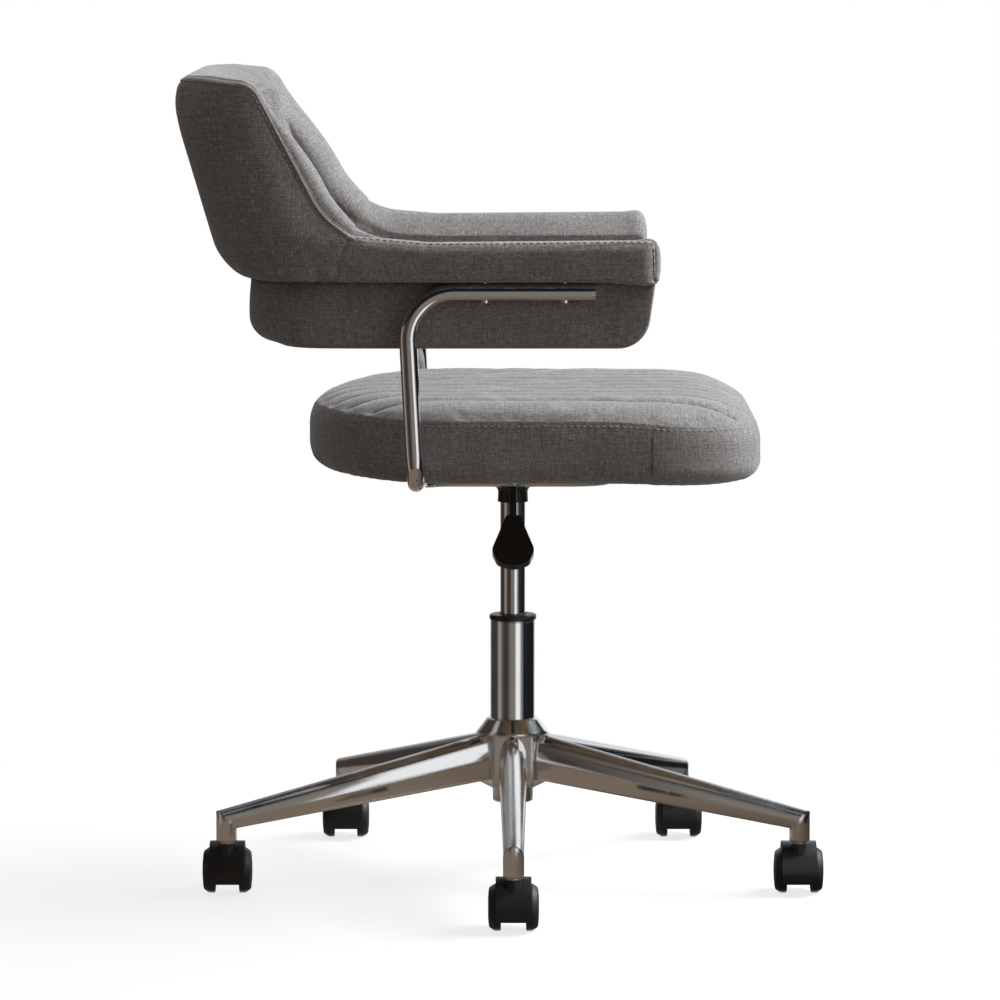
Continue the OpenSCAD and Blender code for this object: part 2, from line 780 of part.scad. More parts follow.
module seat_cushion() {
    low = seat_z - cushion_lip;
    high = seat_z + cushion_rise;
    shoulder = high - cushion_crown;
    slope = 90;     // how far in from each edge the crown begins
    crown_r = 160;
    notch_gap = 3;  // round each arm tube, where it passes under the edge
    color("gray") difference() {
        intersection() {
            translate([0, 0, low]) linear_extrude(high - low) seat_plan(0);
            along_x(-seat_w / 2, seat_w / 2) polygon(outline([
                [seat_rear, low, 24],
                [seat_rear, shoulder, 26],
                [seat_rear - slope, high, crown_r],
                [seat_front + slope, high, crown_r],
                [seat_front, shoulder - cushion_drop, 30],
                [seat_front, low, 22]
            ]));
            along_y(seat_front, seat_rear) polygon(outline([
                [-seat_w / 2, low, 18],
                [-seat_w / 2, shoulder, 22],
                [-seat_w / 2 + slope, high, crown_r],
                [seat_w / 2 - slope, high, crown_r],
                [seat_w / 2, shoulder, 22],
                [seat_w / 2, low, 18]
            ]));
        }
        translate([0, 0, low - cut]) linear_extrude(cushion_lip + board_t + cut)
            seat_plan(board_inset - seat_gap);
        translate([-seat_w, tube_back - runner_bend, low - cut])
            cube([2 * seat_w, runner_bend + tube_r + notch_gap, cut + cushion_lip + notch_gap]);
    }
}

// ---- shell ----

// A U seen from above, open to the front, its legs side_t and its rear rear_t thick
function u_plan(half, rear, front, side_t, rear_t, r_out) = outline([
    [-half, front, 0],
    [-half, rear, r_out],
    [half, rear, r_out],
    [half, front, 0],
    [half - side_t, front, 0],
    [half - side_t, rear - rear_t, r_out - side_t],
    [side_t - half, rear - rear_t, r_out - side_t],
    [side_t - half, front, 0]
]);

core_cover = 6;     // padding under the plywood ring
core_z = arm_z + core_cover;
core_front = 24 - arm_reach;

module core_solid(grow) {
    half = tube_x + core_t / 2 + grow;
    rear = shell_back - 12 + grow;
    translate([0, 0, core_z - grow]) linear_extrude(core_h + 2 * grow) polygon(u_plan(
        half, rear, core_front - grow, core_t + 2 * grow, core_t + 2 * grow, shell_corner - 8
    ));
}

module shell_core() {
    color("burlywood") difference() {
        core_solid(0);
        for (side = sides, y = arm_screw_y) at_side(side) translate([-tube_x, y, core_z - cut])
            cylinder(h = arm_z + screw_bite + cut + fit_gap - core_z, r = screw_d / 2 + fit_gap);
    }
}

board_low = core_z + core_h;

module board_slab(grow) {
    w = 2 * shell_x * back_taper - 2 * arm_w - 20 + 2 * grow;
    intersection() {
        translate([0, shell_back - 12, board_low]) rotate([-recline, 0, 0])
            translate([-w / 2, -12 - grow, -20])
                cube([w, 10 + 2 * grow, (back_h - core_h - 45) / cos(recline) + 20 + grow]);
        translate([-400, 0, board_low]) cube([800, 600, 600]);
    }
}

module back_board() {
    color("burlywood") board_slab(0);
}

module collar_back() {
    top = arm_z + back_h;
    lean = tan(recline);
    straight = arm_h / cos(recline);
    tall = (back_h + 120) / cos(recline);
    wing_top = seam_back - 8 + (back_h - arm_h) / tan(wing_slope);
    plan = u_plan(shell_x, 0, -260, arm_w, back_t, shell_corner);
    color("gray") difference() {
        intersection() {
            translate([0, shell_back, arm_z]) rotate([-recline, 0, 0]) union() {
                translate([0, 0, -100]) linear_extrude(straight + 100) polygon(plan);
                translate([0, 0, straight - 1])
                    linear_extrude(tall, scale = [1 - (1 - back_taper) * tall / back_h, 1], slices = 1)
                        polygon(plan);
            }
            along_x(-shell_x, shell_x) polygon(outline([
                [seam_back, arm_z, 0],
                [seam_back, arm_top - 20, 0],
                [seam_back - 8, arm_top, 0],
                [seam_back + 8, arm_top + 8, 0],
                [wing_top, top, 28],
                [shell_back + back_h * lean + 2, top, 24],
                [shell_back + 20 * lean + 1, arm_z + 20, 20],
                [shell_back - 14, arm_z, 10]
            ]));
            along_y(0, 500) polygon(outline([
                [-shell_x, arm_z, 0],
                [-shell_x, arm_top, 0],
                [-shell_x * back_taper, top, 55],
                [shell_x * back_taper, top, 55],
                [shell_x, arm_top, 0],
                [shell_x, arm_z, 0]
            ]));
        }
        core_solid(fit_gap);
        board_slab(fit_gap);
    }
}

module arm_pad(side) {
    color("gray") at_side(side) difference() {
        intersection() {
            along_x(-shell_x, -inner_x) polygon(outline([
                [seam_back, arm_z, 0],
                [seam_back, arm_top - 20, 0],
                [seam_back - 8, arm_top, 0],
                [-arm_reach, arm_top, 19],
                [-arm_reach + 6, arm_z, 6]
            ]));
            along_y(-arm_reach - cut, seam_back + cut) polygon(outline([
                [-shell_x, arm_z, 4],
                [-shell_x, arm_top, 12],
                [-inner_x, arm_top - arm_dish, 14],
                [-inner_x, arm_z, 4]
            ]));
        }
        core_solid(fit_gap);
        for (y = arm_screw_y) translate([-tube_x, y, arm_z - cut])
            cylinder(h = core_cover + 2 * cut, r = screw_d / 2 + fit_gap);
    }
}

module band_solid() {
    intersection() {
        translate([0, 0, band_z]) linear_extrude(band_h) polygon(u_plan(
            band_x, band_rear, -arm_reach, band_t, band_t + 18, shell_corner - 10
        ));
        along_x(-shell_x, shell_x) polygon(outline([
            [-arm_reach + 6, arm_z, 0],
            [-arm_reach + 15, band_z, 34],
            [band_rear - 9, band_z + 4, 26],
            [band_rear, arm_z, 0]
        ]));
    }
}

module band_back() {
    color("gray") intersection() {
        band_solid();
        translate([-shell_x, seam_back, 0]) cube([2 * shell_x, 400, arm_z]);
    }
}

module band_side(side) {
    color("gray") at_side(side) intersection() {
        band_solid();
        translate([-shell_x, -400, 0]) cube([shell_x, 400 + seam_back, arm_z]);
    }
}

base_hub();
column_tube();
column_rim();
guide_bush();
thrust_bearing();
caster_stems();
for (i = corners) {
    base_leg(i);
    caster_hood(i);
    caster_axle(i);
    for (s = sides)
        caster_wheel(i, s);
}
piston_rod();
retaining_clip();
lift_cylinder();
release_pin();
lift_boot();
lift_socket();
seat_plate();
plate_bolts();
lever_pivot();
lever_rod();
lever_paddle();
cross_tube();
frame_screws();
arm_screws();
tube_plugs();
seat_board();
seat_cushion();
shell_core();
back_board();
collar_back();
band_back();
for (s = sides) {
    arm_tube(s);
    arm_pad(s);
    band_side(s);
}
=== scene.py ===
import json
import math

import bmesh
import bpy
import numpy as np
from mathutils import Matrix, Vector


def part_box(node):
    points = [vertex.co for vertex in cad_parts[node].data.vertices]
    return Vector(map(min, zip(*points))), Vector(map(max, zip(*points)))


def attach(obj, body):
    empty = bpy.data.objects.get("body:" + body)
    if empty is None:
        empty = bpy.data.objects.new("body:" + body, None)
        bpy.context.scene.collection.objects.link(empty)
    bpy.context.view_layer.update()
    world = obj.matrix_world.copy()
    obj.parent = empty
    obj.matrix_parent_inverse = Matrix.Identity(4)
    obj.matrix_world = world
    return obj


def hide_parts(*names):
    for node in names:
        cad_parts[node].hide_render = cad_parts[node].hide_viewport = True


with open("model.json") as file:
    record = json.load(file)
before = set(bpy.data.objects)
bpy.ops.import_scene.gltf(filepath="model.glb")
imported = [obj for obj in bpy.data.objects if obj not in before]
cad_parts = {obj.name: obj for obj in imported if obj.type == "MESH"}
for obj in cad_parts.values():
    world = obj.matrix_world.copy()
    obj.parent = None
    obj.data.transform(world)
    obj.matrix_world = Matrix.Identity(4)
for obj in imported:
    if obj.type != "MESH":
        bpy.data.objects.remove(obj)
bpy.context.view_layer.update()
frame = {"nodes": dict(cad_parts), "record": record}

MM = 0.001


def box(node):
    low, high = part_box(node)
    return np.array(low), np.array(high)


def smooth(x):
    """0 below 0, 1 above 1, and an even S between."""
    x = np.clip(x, 0, 1)
    return x * x * (3 - 2 * x)


def wobble(x, wave, seed, octaves=3):
    """A repeatable rough line along x, within about -1 to 1, whose longest wave is wave."""
    rng = np.random.default_rng(seed)
    total = np.zeros_like(np.asarray(x, float))
    for k in range(octaves):
        phase, stretch = rng.uniform(0, 2 * math.pi), rng.uniform(0.8, 1.25)
        total += np.sin(2 * math.pi * np.asarray(x) * stretch * 1.7 ** k / wave + phase) / 1.5 ** k
    return total / 1.9


def fillet(points, steps=10):
    """A polyline through [x, y, radius] corners, each rounded to its radius."""
    out = []
    for i, (x, y, r) in enumerate(points):
        b = np.array([x, y])
        if r == 0 or i in (0, len(points) - 1):
            out.append(b)
            continue
        a, c = (np.array(points[i + k][:2]) for k in (-1, 1))
        u, w = (a - b) / np.linalg.norm(a - b), (c - b) / np.linalg.norm(c - b)
        half = math.acos(np.clip(u @ w, -1, 1)) / 2
        centre = b + (u + w) / np.linalg.norm(u + w) * r / math.sin(half)
        s, e = b + u * r / math.tan(half) - centre, b + w * r / math.tan(half) - centre
        start = math.atan2(s[1], s[0])
        sweep = (math.atan2(e[1], e[0]) - start + 3 * math.pi) % (2 * math.pi) - math.pi
        out += [centre + r * np.array([math.cos(start + sweep * k / steps),
                                       math.sin(start + sweep * k / steps)])
                for k in range(steps + 1)]
    return np.array(out)


def running(line):
    """Running length along a polyline."""
    return np.concatenate([[0], np.cumsum(np.linalg.norm(np.diff(line, axis=0), axis=1))])


def even(line, count=None, step=None):
    """The polyline at even steps along it, by their number or their length."""
    run = running(line)
    if count is None:
        count = max(3, int(round(run[-1] / step)) + 1)
    at = np.linspace(0, run[-1], count)
    return np.stack([np.interp(at, run, line[:, k]) for k in range(line.shape[1])], axis=1)


def lengths(points, axis):
    """Running length of a grid of points along one of its axes."""
    step = np.linalg.norm(np.diff(points, axis=axis), axis=2)
    zero = np.zeros((1, points.shape[1]) if axis == 0 else (points.shape[0], 1))
    return np.cumsum(np.concatenate([zero, step], axis=axis), axis=axis)


def mirrored(half):
    """Both halves of a grid whose last row lies in the chair's middle plane."""
    other = half[::-1][1:].copy()
    other[:, :, 0] *= -1
    return np.concatenate([half, other])


def unfold(values, middle):
    """Values that run on through the middle plane as they ran up to it."""
    return np.concatenate([values, 2 * middle - values[::-1][1:]])


def bridge(start, end, count):
    """A grid of straight rungs between two rows of points."""
    t = np.linspace(0, 1, count)[None, :, None]
    return start[:, None] * (1 - t) + end[:, None] * t


def ladder(ring, bulge, count=9):
    """Closes an arch of points: each one is joined to its opposite number."""
    half = len(ring) // 2
    t = np.linspace(0, 1, count)[None, :, None]
    return bridge(ring[:half], ring[::-1][:half], count) + np.array(bulge) * np.sin(math.pi * t)


def put(name, data):
    """A new object in the scene with this data."""
    piece = bpy.data.objects.new(name, data)
    bpy.context.scene.collection.objects.link(piece)
    return piece


class Cover:
    """Patches of a surface gathered into one mesh, with its weave laid out in metres."""

    def __init__(self):
        self.verts, self.faces, self.uv, self.count = [], [], [], 0

    def grid(self, points, uv=None, flip=False):
        """Adds an n by m grid of points, and returns the numbers of its vertices."""
        n, m = points.shape[:2]
        if uv is None:
            across, along = lengths(points, 1), lengths(points, 0)
            uv = np.stack([along.mean(axis=1, keepdims=True) + 0 * across,
                           across.mean(axis=0, keepdims=True) + 0 * across], axis=2)
        ids = self.count + np.arange(n * m).reshape(n, m)
        self.verts.append(points.reshape(-1, 3))
        self.count += n * m
        quads = np.stack([ids[:-1, :-1], ids[1:, :-1], ids[1:, 1:], ids[:-1, 1:]], axis=2).reshape(-1, 4)
        maps = np.stack([uv[:-1, :-1], uv[1:, :-1], uv[1:, 1:], uv[:-1, 1:]], axis=2).reshape(-1, 4, 2)
        if flip:
            quads, maps = quads[:, ::-1], maps[:, ::-1]
        self.faces.append(quads)
        self.uv.append(maps)
        return ids

    def build(self, name, weld=0.02 * MM):
        """One object of all the patches, welded where they meet."""
        mesh = bpy.data.meshes.new(name)
        mesh.from_pydata(np.concatenate(self.verts).tolist(), [], np.concatenate(self.faces).tolist())
        layer = mesh.uv_layers.new(name="weave")
        layer.data.foreach_set("uv", np.concatenate(self.uv).astype(np.float32).ravel())
        mesh.polygons.foreach_set("use_smooth", [True] * len(mesh.polygons))
        bm = bmesh.new()
        bm.from_mesh(mesh)
        bmesh.ops.remove_doubles(bm, verts=bm.verts, dist=weld)
        bmesh.ops.dissolve_degenerate(bm, edges=bm.edges, dist=1e-6)
        bm.to_mesh(mesh)
        bm.free()
        return put(name, mesh)


def tidy_normals(piece):
    """Turns every face of a closed piece outward."""
    bm = bmesh.new()
    bm.from_mesh(piece.data)
    bmesh.ops.recalc_face_normals(bm, faces=bm.faces)
    bm.to_mesh(piece.data)
    bm.free()


def puff(piece, pinned, pressure, cap, spare, frames=14):
    """Runs cloth with air pressure on a cover held at its pinned vertices, and keeps the result."""
    mesh = piece.data
    rest = np.empty(len(mesh.vertices) * 3, np.float32)
    mesh.vertices.foreach_get("co", rest)
    rest = rest.reshape(-1, 3)
    group = piece.vertex_groups.new(name="held")
    group.add([int(i) for i in np.nonzero(pinned(rest))[0]], 1.0, "REPLACE")
    cloth = piece.modifiers.new("cloth", "CLOTH")
    setup = cloth.settings
    setup.quality, setup.mass = 5, 0.3
    setup.tension_stiffness = setup.compression_stiffness = 15
    setup.shear_stiffness, setup.bending_stiffness = 5, 0.5
    setup.use_pressure, setup.uniform_pressure_force = True, pressure
    setup.shrink_min = -spare
    setup.effector_weights.gravity = 0
    setup.vertex_group_mass = group.name
    cloth.collision_settings.use_collision = False
    scene = bpy.context.scene
    for step in range(1, frames + 1):
        scene.frame_set(step)
    done = piece.evaluated_get(bpy.context.evaluated_depsgraph_get()).to_mesh()
    after = np.empty_like(rest)
    done.vertices.foreach_get("co", after.reshape(-1))
    after = after.reshape(-1, 3)
    piece.modifiers.remove(cloth)
    piece.vertex_groups.remove(group)
    scene.frame_set(1)
    move = after - rest
    far = np.linalg.norm(move, axis=1, keepdims=True)
    soft = cap * np.tanh(far / cap)
    kept = rest + move * soft / np.maximum(far, 1e-9)
    mesh.vertices.foreach_set("co", kept.astype(np.float32).ravel())
    mesh.update()


# ---- materials ----

def add_node(tree, kind, inputs=None, **settings):
    """A new node with its settings, each input linked to a socket or set to a value."""
    node = tree.nodes.new(kind)
    for key, value in settings.items():
        setattr(node, key, value)
    for key, value in (inputs or {}).items():
        if isinstance(value, bpy.types.NodeSocket):
            tree.links.new(value, node.inputs[key])
        else:
            node.inputs[key].default_value = value
    return node


def add_ramp(tree, value, stops):
    """Colour of a ramp through [place, colour] stops."""
    node = add_node(tree, "ShaderNodeValToRGB", {"Fac": value})
    marks = node.color_ramp.elements
    while len(marks) < len(stops):
        marks.new(0.5)
    for mark, (place, colour) in zip(marks, stops):
        mark.position, mark.color = place, (*colour, 1)
    return node.outputs["Color"]


def bare_tree(owner):
    """The emptied node tree of a material or world."""
    owner.use_nodes = True
    owner.node_tree.nodes.clear()
    return owner.node_tree


class Nodes:
    """Short calls for a material's node tree."""

    def __init__(self, name):
        self.material = bpy.data.materials.new(name)
        self.material.use_nodes = True
        self.tree = self.material.node_tree
        self.shader = self.tree.nodes["Principled BSDF"]

    def add(self, kind, inputs=None, **settings):
        return add_node(self.tree, kind, inputs, **settings)

    def math(self, operation, a, b):
        return self.add("ShaderNodeMath", {0: a, 1: b}, operation=operation).outputs[0]

    def spread(self, value, low, high, to_low, to_high):
        return self.add("ShaderNodeMapRange", {"Value": value, "From Min": low, "From Max": high,
                                               "To Min": to_low, "To Max": to_high}).outputs["Result"]

    def noise(self, vector, scale, detail=2.0, rough=0.5):
        return self.add("ShaderNodeTexNoise", {"Vector": vector, "Scale": scale, "Detail": detail,
                                               "Roughness": rough}).outputs["Fac"]

    def stretch(self, vector, sizes):
        return self.add("ShaderNodeVectorMath", {0: vector, 1: sizes}, operation="MULTIPLY").outputs[0]

    def ramp(self, value, stops):
        return add_ramp(self.tree, value, stops)

    def mix(self, factor, a, b, blend="MIX"):
        node = self.add("ShaderNodeMix", {0: factor, 6: a, 7: b}, data_type="RGBA", blend_type=blend)
        return node.outputs[2]

    def bump(self, height, distance, strength=1.0, after=None):
        inputs = {"Height": height, "Distance": distance, "Strength": strength}
        if after is not None:
            inputs["Normal"] = after
        return self.add("ShaderNodeBump", inputs).outputs["Normal"]

    def finish(self, **inputs):
        for key, value in inputs.items():
            socket = self.shader.inputs[key.replace("_", " ")]
            if isinstance(value, bpy.types.NodeSocket):
                self.tree.links.new(value, socket)
            else:
                socket.default_value = value
        return self.material


def shaded(tint, share):
    """A share of a colour's brightness."""
    return tuple(c * share for c in tint)


def melange(name, tint):
    """Grey wool-look cloth: light, dark and brownish fibres in a fine crosshatched weave."""
    n = Nodes(name)
    at = n.add("ShaderNodeUVMap", uv_map="weave").outputs["UV"]
    across = n.noise(n.stretch(at, (150, 1100, 1)), 1.0, 3.0, 0.6)
    along = n.noise(n.stretch(at, (1100, 150, 1)), 1.0, 3.0, 0.6)
    long_across = n.noise(n.stretch(at, (28, 620, 1)), 1.0, 2.0)
    long_along = n.noise(n.stretch(at, (620, 28, 1)), 1.0, 2.0)
    fleck = n.noise(n.stretch(at, (900, 900, 1)), 1.0, 2.0, 0.7)
    cloud = n.noise(n.stretch(at, (14, 14, 1)), 1.0, 4.0, 0.6)
    hatch = n.math("ADD", n.math("MULTIPLY", across, 0.5), n.math("MULTIPLY", along, 0.5))
    streak = n.math("ADD", n.math("MULTIPLY", long_across, 0.5), n.math("MULTIPLY", long_along, 0.5))
    fibre = n.math("ADD", n.math("MULTIPLY", hatch, 0.6), n.math("MULTIPLY", streak, 0.25))
    fibre = n.math("ADD", fibre, n.math("MULTIPLY", fleck, 0.15))
    dark, mid, light = (shaded(tint, k) for k in (0.34, 0.95, 2.1))
    colour = n.ramp(fibre, [(0.38, dark), (0.5, mid), (0.64, light)])
    warm = n.ramp(n.noise(n.stretch(at, (240, 240, 1)), 1.0, 2.0, 0.7),
                  [(0.42, (0.92, 0.97, 1.03)), (0.6, (1.1, 1.0, 0.9))])
    colour = n.mix(0.75, colour, n.mix(1.0, colour, warm, "MULTIPLY"))
    shade = n.spread(cloud, 0.3, 0.7, 0.88, 1.12)
    grey = n.add("ShaderNodeCombineColor", {0: shade, 1: shade, 2: shade}).outputs[0]
    colour = n.mix(1.0, colour, grey, "MULTIPLY")
    relief = n.bump(cloud, 0.004, 0.35, n.bump(fibre, 0.0011, 0.55))
    rough = n.spread(fibre, 0.35, 0.65, 0.95, 0.8)
    return n.finish(Base_Color=colour, Roughness=rough, Normal=relief, Specular_IOR_Level=0.25,
                    Sheen_Weight=0.28, Sheen_Roughness=0.45)


def thread(name, tint):
    """Twisted sewing thread."""
    n = Nodes(name)
    at = n.add("ShaderNodeTexCoord").outputs["Object"]
    ply = n.noise(at, 2400.0, 2.0)
    colour = n.ramp(ply, [(0.35, shaded(tint, 0.55)), (0.65, shaded(tint, 1.35))])
    return n.finish(Base_Color=colour, Roughness=n.spread(ply, 0.3, 0.7, 0.5, 0.75),
                    Normal=n.bump(ply, 0.0002, 0.6), Sheen_Weight=0.3)


def chrome(name, tint, rough=0.06, streaks=(4, 4, 4), edge=0.5 * MM):
    """Polished plating over softened edges, with faint swirls and handling marks in its gloss."""
    n = Nodes(name)
    at = n.add("ShaderNodeTexCoord").outputs["Object"]
    haze = n.noise(n.stretch(at, streaks), 3.0, 5.0, 0.65)
    marks = n.noise(n.stretch(at, streaks), 90.0, 3.0, 0.6)
    gloss = n.math("ADD", n.spread(haze, 0.35, 0.7, rough * 0.5, rough * 1.4),
                   n.spread(marks, 0.62, 0.8, 0.0, 0.08))
    colour = n.ramp(haze, [(0.3, shaded(tint, 0.93)), (0.7, tint)])
    rounded = n.add("ShaderNodeBevel", {"Radius": edge}, samples=6).outputs[0]
    return n.finish(Base_Color=colour, Metallic=1.0, Roughness=gloss,
                    Normal=n.bump(haze, 0.0006, 0.12, rounded))


def plastic(name, tint, rough, grain=900.0):
    """Moulded plastic with a fine spark-eroded grain and rubbed patches."""
    n = Nodes(name)
    at = n.add("ShaderNodeTexCoord").outputs["Object"]
    fine = n.noise(at, grain, 3.0, 0.6)
    worn = n.noise(at, 35.0, 4.0, 0.6)
    colour = n.ramp(worn, [(0.35, shaded(tint, 0.8)), (0.75, shaded(tint, 1.4))])
    gloss = n.math("ADD", n.spread(worn, 0.35, 0.7, rough * 0.85, rough * 1.15),
                   n.math("MULTIPLY", fine, 0.06))
    return n.finish(Base_Color=colour, Roughness=gloss, Normal=n.bump(fine, 0.00015, 0.5))


def steel(name, tint, rough, metallic=1.0):
    """Zinc-plated or coated steel with a mottled gloss."""
    n = Nodes(name)
    at = n.add("ShaderNodeTexCoord").outputs["Object"]
    cell = n.add("ShaderNodeTexVoronoi", {"Vector": at, "Scale": 260.0}).outputs["Distance"]
    mottle = n.noise(at, 60.0, 4.0, 0.6)
    colour = n.ramp(mottle, [(0.3, shaded(tint, 0.75)), (0.7, shaded(tint, 1.15))])
    gloss = n.math("ADD", n.spread(mottle, 0.3, 0.7, rough * 0.8, rough * 1.2),
                   n.math("MULTIPLY", cell, 0.12))
    return n.finish(Base_Color=colour, Metallic=metallic, Roughness=gloss,
                    Normal=n.bump(mottle, 0.0003, 0.3))


def plywood(name):
    """Birch plywood: long grain on its faces and veneer lines on its edges."""
    n = Nodes(name)
    at = n.add("ShaderNodeTexCoord").outputs["Object"]
    grain = n.noise(n.stretch(at, (12, 160, 12)), 1.5, 5.0, 0.65)
    ply = n.add("ShaderNodeTexWave", {"Vector": at, "Scale": 210.0, "Distortion": 0.6},
                bands_direction="Z").outputs["Fac"]
    colour = n.ramp(grain, [(0.3, (0.36, 0.22, 0.11)), (0.7, (0.6, 0.42, 0.25))])
    colour = n.mix(n.math("MULTIPLY", ply, 0.3), colour, (0.25, 0.15, 0.08, 1))
    return n.finish(Base_Color=colour, Roughness=n.spread(grain, 0.3, 0.7, 0.75, 0.55),
                    Normal=n.bump(grain, 0.0005, 0.4))


CLOTH = (0.205, 0.190, 0.182)
PALE_CHROME = (0.86, 0.85, 0.84)
materials = {
    "chrome_legs": chrome("chrome_legs", PALE_CHROME, 0.07, edge=5 * MM),
    "chrome_lift": chrome("chrome_lift", (0.80, 0.80, 0.80), 0.12, (60, 60, 3)),
    "chrome_tube": chrome("chrome_tube", PALE_CHROME, 0.05),
    "caster_plastic": plastic("caster_plastic", (0.012, 0.012, 0.013), 0.38),
    "wheel_plastic": plastic("wheel_plastic", (0.010, 0.010, 0.011), 0.45),
    "inner_plastic": plastic("inner_plastic", (0.02, 0.02, 0.02), 0.5),
    "paddle_plastic": plastic("paddle_plastic", (0.008, 0.008, 0.009), 0.22),
    "steel": steel("steel", (0.55, 0.55, 0.56), 0.3),
    "black_steel": steel("black_steel", (0.02, 0.02, 0.021), 0.4, 0.0),
    "plywood": plywood("plywood"),
    "seat_fabric": melange("seat_fabric", CLOTH),
    "shell_fabric": melange("shell_fabric", CLOTH),
    "stitching": thread("stitching", (0.27, 0.255, 0.25)),
}


def dress(piece, body, slot, material=None, replaces=()):
    """Gives a piece its material (the one named, or else the one of its slot's name) and its body, and hides
    the nodes that it stands for.
    """
    piece.data.materials.clear()
    piece.data.materials.append(materials[material or slot])
    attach(piece, body)
    if replaces:
        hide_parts(*replaces)


for part in frame["record"]["subparts"]:
    for spot in frame["nodes"][part["node"]].material_slots:
        spot.material = materials[part["material_slot"]]


def stitches(name, line, normals, body, slot, pitch=7 * MM, stitch=4.8 * MM, radius=0.8 * MM):
    """A row of thread stitches along a line of points that lie on a cover."""
    run = running(line)
    count = int(run[-1] / pitch)
    mid = (np.arange(count) + 0.5) * run[-1] / count
    lift = 0.5 * radius
    sides, rings = 6, 5
    verts, faces = [], []

    def at(s):
        return (np.array([np.interp(s, run, line[:, k]) for k in range(3)]),
                np.array([np.interp(s, run, normals[:, k]) for k in range(3)]))

    for centre in mid:
        first = len(verts)
        for k in range(rings):
            t = k / (rings - 1)
            spot, up = at(centre + (t - 0.5) * stitch)
            ahead, _ = at(centre + (t - 0.5) * stitch + 0.1 * MM)
            forward = (ahead - spot) / max(np.linalg.norm(ahead - spot), 1e-9)
            up = up / np.linalg.norm(up)
            across = np.cross(up, forward)
            thick = radius * math.sin(math.pi * (0.12 + 0.76 * t)) ** 0.5
            dip = 0.9 * radius * (2 * t - 1) ** 4
            for j in range(sides):
                a = 2 * math.pi * j / sides
                verts.append(spot + up * (lift - dip + thick * math.cos(a))
                             + across * thick * math.sin(a))
        for k in range(rings - 1):
            for j in range(sides):
                a, b = first + k * sides + j, first + k * sides + (j + 1) % sides
                faces.append((a, b, b + sides, a + sides))
        faces.append(tuple(first + j for j in reversed(range(sides))))
        faces.append(tuple(first + (rings - 1) * sides + j for j in range(sides)))
    mesh = bpy.data.meshes.new(name)
    mesh.from_pydata([v.tolist() for v in verts], [], faces)
    mesh.polygons.foreach_set("use_smooth", [True] * len(mesh.polygons))
    dress(put(name, mesh), body, slot, "stitching")


# ---- seat cushion ----

seat_low, seat_high = box("seat_cushion")
board_half = box("seat_board")[1][0]
front_corner, rear_round = 115 * MM, 164 * MM
rim_side, rim_front, rim_rear = 3 * MM, 6 * MM, 8 * MM      # how far the top's seam lies inside the plan
seam_below, seam_rise, seam_fall = 19.5 * MM, 1.5 * MM, 6.5 * MM    # under the crown, rear, front
ridge_h, ridge_drop, stitch_cut = 4.8 * MM, 3.3 * MM, 1.6 * MM      # relief of the channels
top_half = seat_high[0] - rim_side
top_front, top_rear = seat_low[1] + rim_front, seat_high[1] - rim_rear
top_corner = front_corner - rim_side
oval_y = seat_high[1] - rear_round
channel = 44 * MM
right_seams = channel * (np.arange(5) + 0.5)
outer_seam = right_seams[-1]
crown_z = seat_high[2]


def seat_seam_z(y):
    """Height of the seam round the cushion's top: level, a little lower across the front."""
    return (crown_z - seam_below + seam_rise * smooth((y - 0.08) / 0.1)
            - seam_fall * smooth((-0.09 - y) / 0.12))


def seat_under_z(y):
    """Height of the cushion's lower edge, which hangs a little in front."""
    return seat_low[2] + 1.5 * MM - 3 * MM * smooth((-0.1 - y) / 0.12)


def seat_ends(x):
    """Front and rear of the cushion's top at x: round corners in front, half an ellipse behind."""
    over = np.clip(np.abs(x) - (top_half - top_corner), 0, top_corner)
    front = top_front + top_corner - np.sqrt(np.maximum(top_corner ** 2 - over ** 2, 0))
    return front, oval_y + (top_rear - oval_y) * np.sqrt(np.maximum(1 - (x / top_half) ** 2, 0))


def seat_edge_distance(x, y):
    """How far (x, y) lies inside the seam of the cushion's top."""
    dx = np.abs(x) - (top_half - top_corner)
    dy = top_front + top_corner - y
    outside = np.hypot(np.maximum(dx, 0), np.maximum(dy, 0))
    ahead = top_corner - outside - np.minimum(np.maximum(dx, dy), 0)
    u, v = x / top_half, np.maximum(y - oval_y, 0) / (top_rear - oval_y)
    share = np.maximum(np.hypot(u, v), 1e-4)
    slope = np.maximum(np.hypot(u / top_half, v / (top_rear - oval_y)) / share, 1)
    return np.where(y > oval_y, np.minimum((1 - share) / slope, 0.2), ahead)


def to_channel_seam(x):
    """How far x lies from the nearest seam between two channels."""
    return np.min(np.abs(np.abs(x)[..., None] - right_seams), axis=-1)


def seat_top_z(x, y):
    """Height of the cushion's top: it climbs from its seam to the crown, and carries the channels."""
    inside = np.maximum(seat_edge_distance(x, y), 0)
    reach = 66 * MM + 20 * MM * smooth((-0.06 - y) / 0.12)
    seam = seat_seam_z(y)
    rise = 1 - np.maximum(1 - inside / reach, 0) ** 2.5
    z = seam + (crown_z - 1.5 * MM - seam) * rise
    phase = (np.abs(x) / channel + 0.5) % 1.0
    ridge = np.where(np.abs(x) < outer_seam, np.abs(np.sin(math.pi * phase)) ** 0.5,
                     1 - np.exp(-((np.abs(x) - outer_seam) / (6 * MM)) ** 2))
    groove = np.exp(-(to_channel_seam(x) / (1.6 * MM)) ** 2)
    z += (ridge_h * ridge - ridge_drop - stitch_cut * groove) * smooth(inside / (10 * MM))
    soft = wobble(x * 0.6 + y, 0.21, 3) * wobble(y - x * 0.8, 0.17, 4)
    return z + 0.9 * MM * soft * smooth(inside / (40 * MM))


